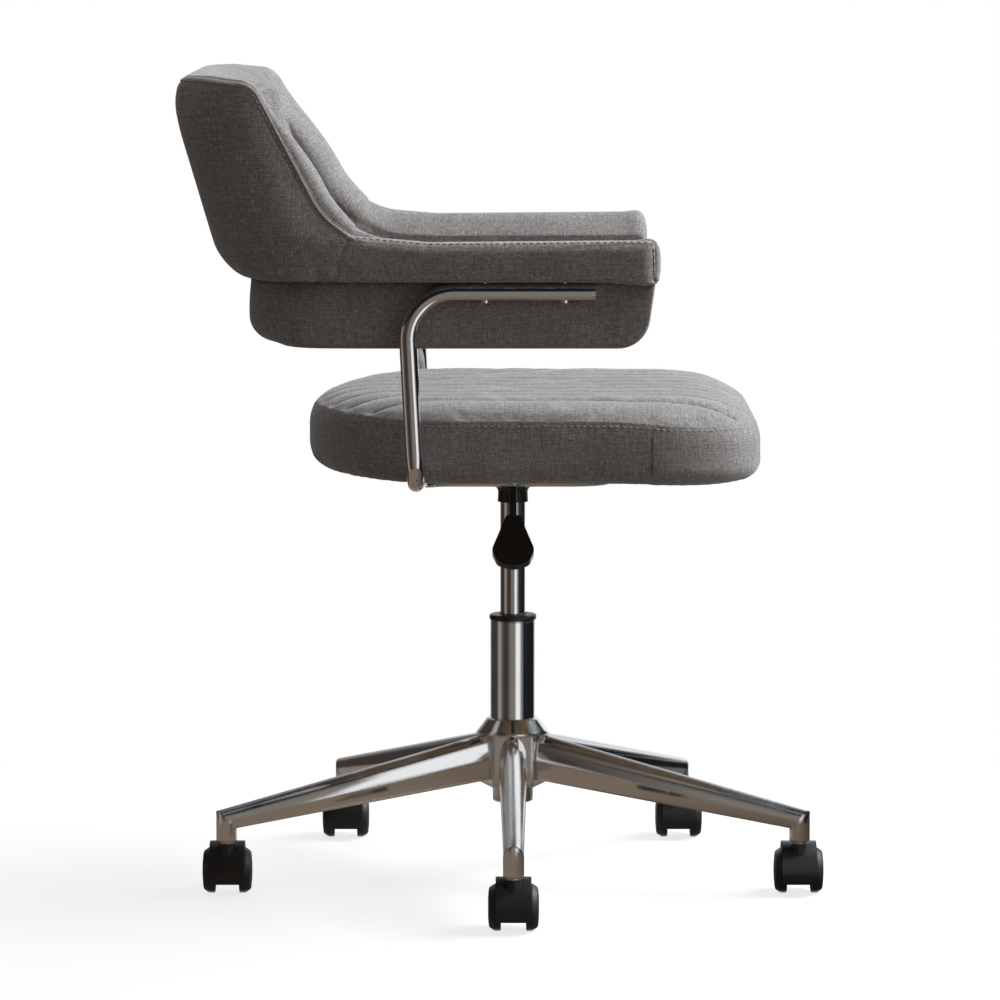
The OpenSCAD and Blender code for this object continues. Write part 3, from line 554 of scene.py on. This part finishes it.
# The top's columns, closer together at the channel seams and towards its sides
columns = np.arange(0, outer_seam + 1e-6, channel / 10)
columns = np.concatenate([columns] + [right_seams + d * MM for d in (-2.4, -1.2)]
                         + [right_seams[:-1] + d * MM for d in (1.2, 2.4)])
columns.sort()
closer = np.linspace(1, 0, 25)[1:]
columns = np.concatenate([columns, top_half - (top_half - outer_seam) * closer ** 2])
columns = np.concatenate([-columns[:0:-1], columns])
front_y, rear_y = seat_ends(columns)
share = np.linspace(0, 1, 101)
share = 0.4 * share + 0.6 * (1 - np.cos(math.pi * share)) / 2
X = np.repeat(columns[:, None], len(share), axis=1)
Y = front_y[:, None] + (rear_y - front_y)[:, None] * share[None, :]
top = np.stack([X, Y, seat_top_z(X, Y)], axis=2)

seat_cover = Cover()
seat_cover.grid(top, top[:, :, :2].copy())

# The rim of the top, once round, and its outward direction
rim = np.concatenate([top[:, 0], top[-1, 1:], top[-2::-1, -1], top[0, -2:0:-1]])
rim = np.concatenate([rim, rim[:1]])
core = np.stack([np.clip(rim[:, 0], top_corner - top_half, top_half - top_corner),
                 np.full(len(rim), top_front + top_corner)], axis=1)
outward = rim[:, :2] - core
outward[:, 1] = np.minimum(outward[:, 1], 0)
oval = np.stack([rim[:, 0] / top_half ** 2, (rim[:, 1] - oval_y) / (top_rear - oval_y) ** 2], axis=1)
outward = np.where(rim[:, 1:2] > oval_y, oval, outward)
outward /= np.linalg.norm(outward, axis=1, keepdims=True)
flat_out = np.concatenate([outward, np.zeros((len(rim), 1))], axis=1)

# The boxing: how far out of the plan, and how far above the cushion's lower edge
tuck = board_half - seat_high[0]
drop = 68 * MM
wall = fillet([
    [0, drop, 0],
    [0, 0, 21 * MM],
    [tuck + 5 * MM, -0.5 * MM, 5 * MM],
    [tuck + 0.6 * MM, 13 * MM, 0],
], 14)
wall = even(wall, count=60)
wall_run = running(wall)
below = drop - wall[:, 1]
belly = np.maximum(1 - below / (24 * MM), 0) ** 2
belly[wall[:, 0] < -15 * MM] = 0
run = running(rim[:, :2])
seam_z, under_z = rim[:, 2], seat_under_z(rim[:, 1])
inset = (rim_side + (rim_front - rim_side) * smooth(-outward[:, 1])
         + (rim_rear - rim_side) * smooth(outward[:, 1]))
tall = np.where(np.arange(len(wall)) < np.argmin(wall[:, 1]), 1, 0)
height = under_z[:, None] + wall[None, :, 1] * (tall * (seam_z - under_z)[:, None] / drop + 1 - tall)
low_share = smooth((30 * MM - np.abs(wall[:, 1])) / (24 * MM)) * smooth((6 * MM - wall[:, 0]) / (12 * MM))
rear_pull = 0.3 + 0.7 * smooth((rim[:, 1] - 0.08) / 0.05)
gather = wobble(run, 0.042, 11, 4) * rear_pull
side_wave = wobble(run, 0.19, 12, 2)
out = wall[None, :, 0] - inset[:, None] * belly[None, :] + 1.6 * MM * gather[:, None] * low_share[None, :]
out = out + 0.8 * MM * side_wave[:, None] * np.sin(math.pi * np.linspace(0, 1, len(wall)))[None, :]
height = height + 1.3 * MM * np.abs(gather)[:, None] * low_share[None, :]
plan = rim[:, :2] + outward * inset[:, None]
boxing = np.concatenate([plan[:, None] + outward[:, None] * out[:, :, None], height[:, :, None]], axis=2)
boxing[:, 0] = rim
boxing_uv = np.stack(np.meshgrid(run, -wall_run, indexing="ij"), axis=2)
seat_cover.grid(boxing, boxing_uv, flip=True)
cushion = seat_cover.build("cushion")


def seat_held(v):
    """The vertices that the channel seams, the seam round the top and the staples underneath hold."""
    inside = seat_edge_distance(v[:, 0], v[:, 1])
    near = to_channel_seam(v[:, 0]) < 0.5 * MM
    upper = v[:, 2] > seat_seam_z(v[:, 1]) - 0.4 * MM
    seam = (np.abs(inside) < 0.8 * MM) & upper & (v[:, 2] < seat_seam_z(v[:, 1]) + 0.8 * MM)
    return (near & upper) | seam | ((inside > 16 * MM) & ~upper)


puff(cushion, seat_held, pressure=1.8, cap=1.0 * MM, spare=0.003)
dress(cushion, "seat", "seat_fabric", replaces=("seat_cushion",))
stitch_below = 5.5 * MM             # the stitches' distance under the top's seam
row = int(np.argmin(np.abs(wall_run - stitch_below)))
stitches("seat_stitches", boxing[:, row], flat_out, "seat", "seat_fabric")


# ---- back and arms ----

pad_low, pad_high = box("arm_pad_right")
band_low, band_high = box("band_back")
shell_half = -pad_low[0]
shell_front = pad_low[1] - 2 * MM
shell_z = pad_low[2]
arm_h = 45 * MM
back_h = box("collar_back")[1][2] - shell_z
shell_rear = 305 * MM
shell_corner = 95 * MM
arm_w = pad_high[0] - pad_low[0]
back_t = 60 * MM
lean = math.tan(math.radians(17))
narrowing = 0.105


def u_plan(q, half, rear, front, corner):
    """Point and inward direction on the right half of a U-shaped plan, q along it from its front end."""
    side = rear - corner - front
    arc = corner * math.pi / 2
    a = np.clip((q - side) / corner, 0, math.pi / 2)
    x = -half + corner * (1 - np.cos(a)) + np.maximum(q - side - arc, 0)
    y = front + np.minimum(q, side) + corner * np.sin(a)
    return x, y, np.cos(a), -np.sin(a)


def shell_point(q, h, d):
    """A point of the shell's right half: q along its plan, h above the arms' underside, d inside its face."""
    x, y, nx, ny = u_plan(q, shell_half, shell_rear, shell_front, shell_corner)
    leaning = smooth((y - 0.02) / 0.12)
    x = (x + nx * d) * (1 - narrowing * np.maximum(h - arm_h, 0) / (back_h - arm_h))
    return np.stack([x, y + ny * d + lean * h * leaning, shell_z + h], axis=-1)


side_run = shell_rear - shell_corner - shell_front
half_run = side_run + shell_corner * math.pi / 2 + shell_half - shell_corner
seam_h = arm_h - 1 * MM
top_h = back_h - 3.5 * MM
wing_foot = 200.4 * MM - shell_front
wing_foot_h = arm_h + 24.7 * MM
head = wing_foot + (top_h - wing_foot_h) / math.tan(math.radians(62))
nose = 7 * MM                       # how far the front end's padding stands before its edge
edge = fillet([
    [nose + lean * 2 * MM, 2 * MM, 0],
    [nose + lean * seam_h, seam_h, 9 * MM],
    [95 * MM - shell_front, seam_h - 2 * MM, 150 * MM],
    [170 * MM - shell_front, seam_h + 5.5 * MM, 8 * MM],
    [wing_foot, wing_foot_h, 85 * MM],
    [head - 2 * MM, top_h - 5.5 * MM, 26 * MM],
    [head + 62 * MM, top_h, 60 * MM],
    [half_run + lean * top_h - 0.15, top_h, 0],
    [half_run + lean * top_h, top_h, 0],
], 24)
edge = even(edge, step=4.2 * MM)
edge[:, 0] -= lean * edge[:, 1]
edge[-1, 0] = half_run


def thicken(line, q):
    """Sets points close together where a seam crosses the edge."""
    rows = [[np.interp(q + d, line[:, 0], line[:, j]) for j in (0, 1)] for d in (-1.6 * MM, 0, 1.6 * MM)]
    line = line[np.abs(line[:, 0] - q) > 3 * MM]
    k = int(np.searchsorted(line[:, 0], q))
    return np.concatenate([line[:k], rows, line[k:]])


outer_seam_q, inner_seam_q, crease_q = 312 * MM, 303 * MM, 334 * MM
edge = thicken(edge, outer_seam_q)
edge = thicken(edge, inner_seam_q)
edge_run = running(edge)
stations = len(edge)
q_top, h_top = edge[:, 0], edge[:, 1]

# Where each station's section stands at the bottom: it fans out behind the front end and round the wing
q_low = q_top + 44 * MM * smooth(edge_run / (60 * MM)) * smooth((0.16 - q_top) / 0.14)
q_low = (q_low + 30 * MM * smooth((q_top - 0.20) / 0.11) + 88 * MM * smooth((q_top - 0.306) / 0.062)
         - 118 * MM * smooth((q_top - 0.37) / 0.19))
h_low = -4 * MM * smooth(1 - q_low / 0.08)

in_wing = smooth((q_top - 0.288) / 0.036)
on_top = smooth((h_top - (top_h - 66 * MM)) / (54 * MM))


def corner_fill(q):
    """How much thicker the shell is at a corner, which its inner face rounds more widely."""
    round_in, thick = 118 * MM, 58 * MM
    start = round_in - (shell_corner - thick)
    t = np.minimum(q - side_run, side_run + shell_corner * math.pi / 2 - q) + start
    return round_in - np.sqrt(round_in ** 2 - np.clip(t, 0, start) ** 2)


near_end = 1 - np.clip((edge_run - 30 * MM) / (30 * MM), 0, 1)
depth = arm_w + (back_t - arm_w) * smooth((q_low - 0.3) / 0.2)
depth_top = depth + corner_fill(q_top)
swelling = smooth((q_top - 0.274) / 0.062)
crown = 1.5 * MM + swelling * (6.5 - 2.5 * on_top + 12 * (1 - smooth((h_top - 0.10) / 0.09))) * MM
crown = crown * (1 - near_end) + (nose - 1.5 * MM * smooth(1 - edge_run / (14 * MM))) * near_end
dish = 26 * MM - 12 * MM * in_wing + 12 * MM * on_top
turned = on_top * smooth((q_top - 0.36) / 0.10)
rounding = (13 - 11.5 * in_wing + 40 * turned) * MM     # radius of the outer face's top, under the seam
cut = 0.13 * turned         # part of that arc left out, so that the seam stands behind the top
seam_d = rounding * (1 - np.sqrt(1 - (1 - cut) ** 2))

outer_n, roll_n, inner_n = 50, 30, 40
grid = np.zeros((stations, outer_n + roll_n + inner_n, 3))
step = 0.5 * MM                     # over which the surface's slopes are taken
pucker = wobble(q_low, 0.034, 31, 4) * (
    0.25 + 0.75 * smooth((q_low - 0.31) / 0.03) * smooth((0.46 - q_low) / 0.04)
    + 0.9 * smooth((0.075 - q_low) / 0.02))
for i in range(stations):
    q0, h0, ql, hl, full = q_top[i], h_top[i], q_low[i], h_low[i], depth[i]
    tall = h0 - hl
    # The outer panel, from its lower edge up to the seam, with its points close together there
    span = math.hypot(tall, q0 - ql)
    fine = min(14 * MM / span, 0.3)
    v = np.concatenate([(1 - fine) * (1 - np.cos(math.pi * np.linspace(0, 0.62, outer_n - 16))) / 1.368,
                        1 - fine + fine * np.linspace(0, 1, 17)[1:]])
    q_out, h_out = ql + (q0 - ql) * v, hl + tall * v
    gap = np.hypot(q_out[:, None] - q_top[None, :], h_out[:, None] - h_top[None, :])
    to_edge = gap.min(axis=1)
    near = gap.argmin(axis=1)
    round_r = rounding[near]
    rim_in = round_r * (1 - np.sqrt(1 - np.maximum(1 - cut[near] - to_edge / round_r, 0) ** 2))
    rear = smooth((q_out - 0.39) / 0.09)
    above, below = np.maximum(v * tall, 0), np.maximum(top_h - h_out, 0)
    low_in, low_up = (5 + 21 * rear) * MM, np.minimum((5 + 33 * rear) * MM, 0.6 * tall)
    under = low_in * (1 - np.sqrt(1 - np.maximum(1 - above / low_up, 0) ** 2))
    rim_in = rim_in + 5 * MM * rear * smooth(1 - below / (66 * MM)) * smooth(below / (34 * MM))
    swell = 2.6 * MM * smooth(to_edge / (40 * MM)) * smooth(above / (40 * MM))
    sewn = in_wing[i] * (1 - 0.7 * on_top[i]) + 0.15 * (1 - in_wing[i])
    fold = (0.7 * np.exp(-((to_edge - 2 * MM) / (1.6 * MM)) ** 2)
            - 1.1 * np.exp(-((to_edge - 6.5 * MM) / (1.5 * MM)) ** 2)) * MM * sewn
    pull = 2.4 * MM * pucker[i] * np.exp(-above / (9 * MM))
    d = rim_in - swell + under - fold - pull
    if abs(q0 - outer_seam_q) < 0.3 * MM:
        d = d + 1.1 * MM * np.sin(math.pi * np.clip(v, 0, 1)) ** 0.3
    grid[i, :outer_n] = shell_point(q_out, h_out + np.abs(pull) * 0.6, d)
    # The roll over the edge, square to the seam
    here = shell_point(q0, h0, 0.0)
    jq = (shell_point(q0 + step, h0, 0.0) - here) / step
    jh = (shell_point(q0, h0 + step, 0.0) - here) / step
    a, b = edge[max(i - 1, 0)], edge[min(i + 1, stations - 1)]
    along = (b[0] - a[0]) * jq + (b[1] - a[1]) * jh
    along /= np.linalg.norm(along)
    up = np.array([-(jh @ along), jq @ along])
    up /= np.linalg.norm(up[0] * jq + up[1] * jh)
    t = np.linspace(0, 1, roll_n + 1)[1:] * math.pi
    half_way = (1 - np.cos(t)) / 2
    start, top_full = seam_d[i], depth_top[i]
    d = start + (top_full - start) * half_way
    rise = crown[i] * np.sin(t) ** (0.75 + 0.6 * turned[i]) - 0.8 * MM * np.exp(-(d - start) / (1.5 * MM))
    sink = dish[i] * half_way ** 1.5 * min(1, tall / arm_h)
    level = (1 - in_wing[i]) * np.array([0.0, 1.0]) + in_wing[i] * up
    q_roll = q0 + up[0] * rise - level[0] * sink
    h_roll = h0 + up[1] * rise - level[1] * sink
    grid[i, outer_n:outer_n + roll_n] = shell_point(q_roll, h_roll, d)
    # The inner panel, down to the lower edge
    v = np.linspace(0, 1, inner_n + 1)[1:]
    q_in, h_in = q_roll[-1] + (ql - q_roll[-1]) * v, h_roll[-1] + (1 * MM + hl - h_roll[-1]) * v
    swell = 3.0 * MM * np.sin(math.pi * v) * in_wing[i]
    swell = swell - 3.0 * MM * np.exp(-((q_in - crease_q) / (7 * MM)) ** 2) * smooth(h_in / 0.03)
    if abs(q0 - inner_seam_q) < 0.3 * MM:
        swell = swell - 1.2 * MM * np.sin(math.pi * v) ** 0.3
    filled = corner_fill(q_in) * (0.5 + 0.5 * smooth(h_in / 0.09))
    d = top_full + (full + filled - top_full) * smooth(v / 0.5) + swell
    grid[i, outer_n + roll_n:] = shell_point(q_in, h_in, d)

whole = mirrored(grid)
run_top = unfold(edge_run, edge_run[-1])
q_uv = unfold(q_low, half_run)
q_top_all = unfold(q_top, half_run)
shell_cover = Cover()


def weave(part, along):
    """Weave coordinates for rows of the shell: along, and the height."""
    return np.stack([along, part[:, :, 2]], axis=2)


outer, inner = whole[:, :outer_n], whole[:, outer_n + roll_n - 1:]
roll = whole[:, outer_n - 1:outer_n + roll_n]
mixed = np.linspace(0, 1, outer_n)[None, :]
shell_cover.grid(outer, weave(outer, q_uv[:, None] * (1 - mixed) + q_top_all[:, None] * mixed))
shell_cover.grid(roll, np.stack([np.repeat(run_top[:, None], roll.shape[1], 1), lengths(roll, 1)], axis=2))
mixed = np.linspace(0, 1, inner.shape[1])[None, :]
shell_cover.grid(inner, weave(inner, 1 - q_uv[:, None] * mixed - q_top_all[:, None] * (1 - mixed)))


shell_cover.grid(ladder(whole[0], (0, 0, -1 * MM)))
shell_cover.grid(ladder(whole[-1], (0, 0, -1 * MM)))
shell_cover.grid(bridge(whole[:, -1], whole[:, 0], 6))
shell = shell_cover.build("shell_cover")
tidy_normals(shell)
dress(shell, "seat", "shell_fabric", replaces=("collar_back", "arm_pad_right", "arm_pad_left"))

# The stitches run along the outer face, a little under its seam
stitch_below = 6.5 * MM
to_seam = np.linalg.norm(outer - outer[:, -1:], axis=2)
line = np.stack([[np.interp(stitch_below, to_seam[i][::-1], outer[i, :, k][::-1]) for k in range(3)]
                 for i in range(len(whole))])
q_plan = np.minimum(q_uv, 2 * half_run - q_uv)
_, _, nx, ny = u_plan(q_plan, shell_half, shell_rear, shell_front, shell_corner)
side = np.where(q_uv > half_run, -1, 1)
facing = np.stack([-nx * side, -ny, np.zeros_like(nx)], axis=1)
stitches("shell_stitches", line[4:-4], facing[4:-4], "seat", "shell_fabric")


# ---- band below the back and arms ----

band_half = band_high[0]
band_top, band_bottom = band_high[2], band_low[2]
band_rear = band_high[1]
band_front = box("band_side_right")[0][1]
band_corner = 85 * MM
band_side_t, band_rear_t = 26 * MM, 44 * MM


def band_point(q, z, d):
    """A point of the band's right half: q along its plan, at height z, d inside its face."""
    x, y, nx, ny = u_plan(q, band_half, band_rear, band_front, band_corner)
    return np.stack([x + nx * d, y + ny * d, z], axis=-1)


band_half_run = (band_rear - band_corner - band_front
                 + band_corner * math.pi / 2 + band_half - band_corner)
band_edge = fillet([
    [0, band_top, 0],
    [10 * MM, band_bottom, 34 * MM],
    [0.3, band_bottom, 0],
    [band_half_run, band_bottom + 1 * MM, 0],
], 16)
band_edge = even(band_edge, step=5 * MM)
count = len(band_edge)
rows_n, under_n = 22, 12          # points up each face, and round the lower edge
band_run = running(band_edge)
share = np.clip((band_run - 60 * MM) / 0.12, 0, 1)
q_up = np.maximum(band_edge[:, 0] * smooth(share) + (1 - smooth(share)) * band_run * 0.62, 0)
q_up = np.maximum.accumulate(q_up)
thick = band_side_t + (band_rear_t - band_side_t) * smooth((band_edge[:, 0] - 0.3) / 0.2)
end = 7 * MM * (1 - np.sqrt(np.maximum(1 - (1 - np.clip(band_run / (9 * MM), 0, 1)) ** 2, 0)))
band = np.zeros((count, 2 * rows_n + under_n, 3))
for i in range(count):
    qb, zb = band_edge[i]
    v = 1 - (1 - np.linspace(0, 1, rows_n)) ** 1.6
    e = end[i]
    gather = 1.2 * MM * wobble(q_up[i], 0.03, 21, 3) * np.exp(-v * 8)
    swell = 2.2 * MM * np.sin(math.pi * v)
    round_low = (3 + 23 * smooth((q_up[i] - 0.36) / 0.09)) * MM
    above = (1 - v) * (band_top - zb)
    under = round_low * (1 - np.sqrt(1 - np.maximum(1 - above / round_low, 0) ** 2))
    band[i, :rows_n] = band_point(q_up[i] + (qb - q_up[i]) * v, band_top + (zb - band_top) * v,
                                  e - swell - gather + under)
    t = np.linspace(0, math.pi, under_n + 2)[1:-1]
    d = e + round_low + (thick[i] - 2 * e - round_low) * (1 - np.cos(t)) / 2
    band[i, rows_n:rows_n + under_n] = band_point(qb + 0 * t, zb - 3 * MM * np.sin(t), d)
    band[i, rows_n + under_n:] = band_point(qb + (q_up[i] - qb) * v, zb + (band_top - zb) * v,
                                            thick[i] - e + 0 * v)
band_all = mirrored(band)
band_cover = Cover()
q_all = unfold(q_up, band_half_run)
uv = np.stack([np.repeat(q_all[:, None], band_all.shape[1], 1), lengths(band_all, 1)], axis=2)
band_cover.grid(band_all, uv)
band_cover.grid(ladder(band_all[0], (0, -2 * MM, 0), 7))
band_cover.grid(ladder(band_all[-1], (0, -2 * MM, 0), 7))
band_cover.grid(bridge(band_all[:, -1], band_all[:, 0], 5))
band_piece = band_cover.build("band_cover")
tidy_normals(band_piece)
dress(band_piece, "seat", "shell_fabric", replaces=("band_back", "band_side_right", "band_side_left"))


# ---- floor, light and camera ----

def seen(tree):
    """1 for camera, glossy and transmission rays."""
    rays = add_node(tree, "ShaderNodeLightPath").outputs
    total = add_node(tree, "ShaderNodeMath", {0: rays["Is Camera Ray"], 1: rays["Is Glossy Ray"]},
                     operation="MAXIMUM").outputs[0]
    return add_node(tree, "ShaderNodeMath", {0: total, 1: rays["Is Transmission Ray"]},
                    operation="MAXIMUM").outputs[0]


def choose(tree, share, a, b):
    """One shader where share is 0, and the other where it is 1."""
    return add_node(tree, "ShaderNodeMixShader", {0: share, 1: a, 2: b}).outputs[0]


WHITE = (1, 1, 1, 1)
world = bpy.data.worlds.new("studio")
bpy.context.scene.world = world
tree = bare_tree(world)
shown = add_node(tree, "ShaderNodeBackground", {"Color": WHITE, "Strength": 1.0})
soft = add_node(tree, "ShaderNodeBackground", {"Color": (1.0, 0.90, 0.84, 1), "Strength": 0.29})
add_node(tree, "ShaderNodeOutputWorld",
         {"Surface": choose(tree, seen(tree), soft.outputs[0], shown.outputs[0])})

floor_mesh = bpy.data.meshes.new("floor")
wide = 60.0
floor_mesh.from_pydata([(-wide, -wide, 0), (wide, -wide, 0), (wide, wide, 0), (-wide, wide, 0)],
                       [], [(0, 1, 2, 3)])
floor = put("floor", floor_mesh)
ground = bpy.data.materials.new("floor")
tree = bare_tree(ground)
dim = add_node(tree, "ShaderNodeBsdfDiffuse", {"Color": (0.16, 0.15, 0.14, 1)})
pale = add_node(tree, "ShaderNodeBsdfDiffuse", {"Color": (0.85, 0.85, 0.85, 1)})
glow = add_node(tree, "ShaderNodeEmission", {"Color": WHITE, "Strength": 1.0})
spot = add_node(tree, "ShaderNodeTexCoord").outputs["Object"]
radius = add_node(tree, "ShaderNodeVectorMath", {0: spot}, operation="LENGTH").outputs["Value"]
fade = add_node(tree, "ShaderNodeMapRange", {"Value": radius, "From Min": 0.4, "From Max": 1.05,
                                             "To Min": 0.78, "To Max": 1.0}).outputs["Result"]
lit = choose(tree, fade, pale.outputs[0], glow.outputs[0])
add_node(tree, "ShaderNodeOutputMaterial", {"Surface": choose(tree, seen(tree), dim.outputs[0], lit)})
floor_mesh.materials.append(ground)


def surround(tones):
    """Grey and dark flats round the set and over the floor, which only shiny things mirror."""
    sides, radius = 96, 0.8
    levels = (0.004, 0.75, 1.35)
    turns = [2 * math.pi * k / sides for k in range(sides)]
    verts = [(radius * math.cos(a), radius * math.sin(a), z) for z in levels for a in turns]
    verts += [(0, 0, levels[0]), (0, 0, levels[-1])]
    pairs = [(k, (k + 1) % sides) for k in range(sides)]
    faces = [(n * sides + k, n * sides + m, (n + 1) * sides + m, (n + 1) * sides + k)
             for n in (0, 1) for k, m in pairs]
    faces += [(k, m, 3 * sides) for k, m in pairs]
    faces += [(2 * sides + k, 2 * sides + m, 3 * sides + 1) for k, m in pairs]
    mesh = bpy.data.meshes.new("flats")
    mesh.from_pydata(verts, [], faces)
    mesh.polygons.foreach_set("material_index", [n for n in range(len(tones)) for _ in turns])
    flats = put("flats", mesh)
    for name, stops in tones.items():
        paint = bpy.data.materials.new(name)
        tree = bare_tree(paint)
        at = add_node(tree, "ShaderNodeTexCoord").outputs["Object"]
        turn = add_node(tree, "ShaderNodeTexGradient", {"Vector": at}, gradient_type="RADIAL")
        light = add_node(tree, "ShaderNodeEmission", {"Color": add_ramp(tree, turn.outputs["Fac"], stops)})
        add_node(tree, "ShaderNodeOutputMaterial", {"Surface": light.outputs[0]})
        mesh.materials.append(paint)
    for kind in ("camera", "diffuse", "transmission", "volume_scatter", "shadow"):
        setattr(flats, "visible_" + kind, False)


bright, pale_grey, taupe = (0.95, 0.97, 1.0), (0.38, 0.38, 0.38), (0.20, 0.155, 0.12)
brown_dark, near_black, pale_blue = (0.05, 0.042, 0.037), (0.011, 0.013, 0.016), (0.36, 0.40, 0.46)
warm_grey = (0.21, 0.19, 0.17)
# The flats' colours, each at its share of a turn round the set
flat_tones = {
    "low_wall_flats": [(0.0, warm_grey), (0.035, warm_grey), (0.042, bright), (0.10, bright),
                       (0.115, near_black), (0.13, pale_grey), (0.145, near_black), (0.37, near_black),
                       (0.40, bright),
                       (0.50, bright), (0.56, pale_grey), (0.62, brown_dark), (0.76, brown_dark),
                       (0.80, pale_grey), (0.83, taupe), (0.87, brown_dark), (0.93, brown_dark),
                       (0.97, warm_grey), (1.0, warm_grey)],
    "high_wall_flats": [(0.0, near_black), (0.2, near_black), (0.38, brown_dark), (0.44, pale_blue),
                        (0.56, pale_blue), (0.62, brown_dark), (0.72, brown_dark), (0.74, pale_grey),
                        (0.77, pale_grey), (0.79, brown_dark), (0.9, near_black), (1.0, near_black)],
    "floor_flats": [(0.0, taupe), (0.3, brown_dark), (0.5, pale_grey), (0.7, taupe), (1.0, taupe)],
    "ceiling_flats": [(0.0, pale_grey), (0.05, pale_grey), (0.07, near_black), (0.25, near_black),
                      (0.42, pale_blue), (0.58, pale_blue), (0.7, brown_dark), (0.93, near_black),
                      (0.95, pale_grey), (1.0, pale_grey)],
}
surround(flat_tones)


def lamp(name, place, target, size, power, colour=(1, 1, 1)):
    """A rectangular lamp turned to a target."""
    light = bpy.data.lights.new(name, "AREA")
    light.shape, light.size, light.size_y = "RECTANGLE", size[0], size[1]
    light.energy, light.color = power, colour
    piece = put(name, light)
    piece.location = place
    piece.rotation_euler = (Vector(target) - Vector(place)).to_track_quat("-Z", "Y").to_euler()


middle = (0, 0, 0.6)
lamp("key", (0.5, -2.5, 2.75), middle, (2.2, 2.2), 262, (0.87, 0.95, 1.0))
lamp("far_fill", (3.0, 0.6, 1.8), middle, (1.6, 1.6), 40)
lamp("front_fill", (-1.6, -2.9, 0.9), middle, (1.8, 1.8), 16, (1.0, 0.96, 0.94))

camera = bpy.data.cameras.new("camera")
camera.lens, camera.sensor_width = 195.9, 36
view = put("camera", camera)
view.location = (-6.0, 0.0143, 1.062)
view.rotation_euler = (math.radians(83.945), 0, math.radians(-90))
bpy.context.scene.camera = view
bpy.context.scene.view_settings.view_transform = "Standard"
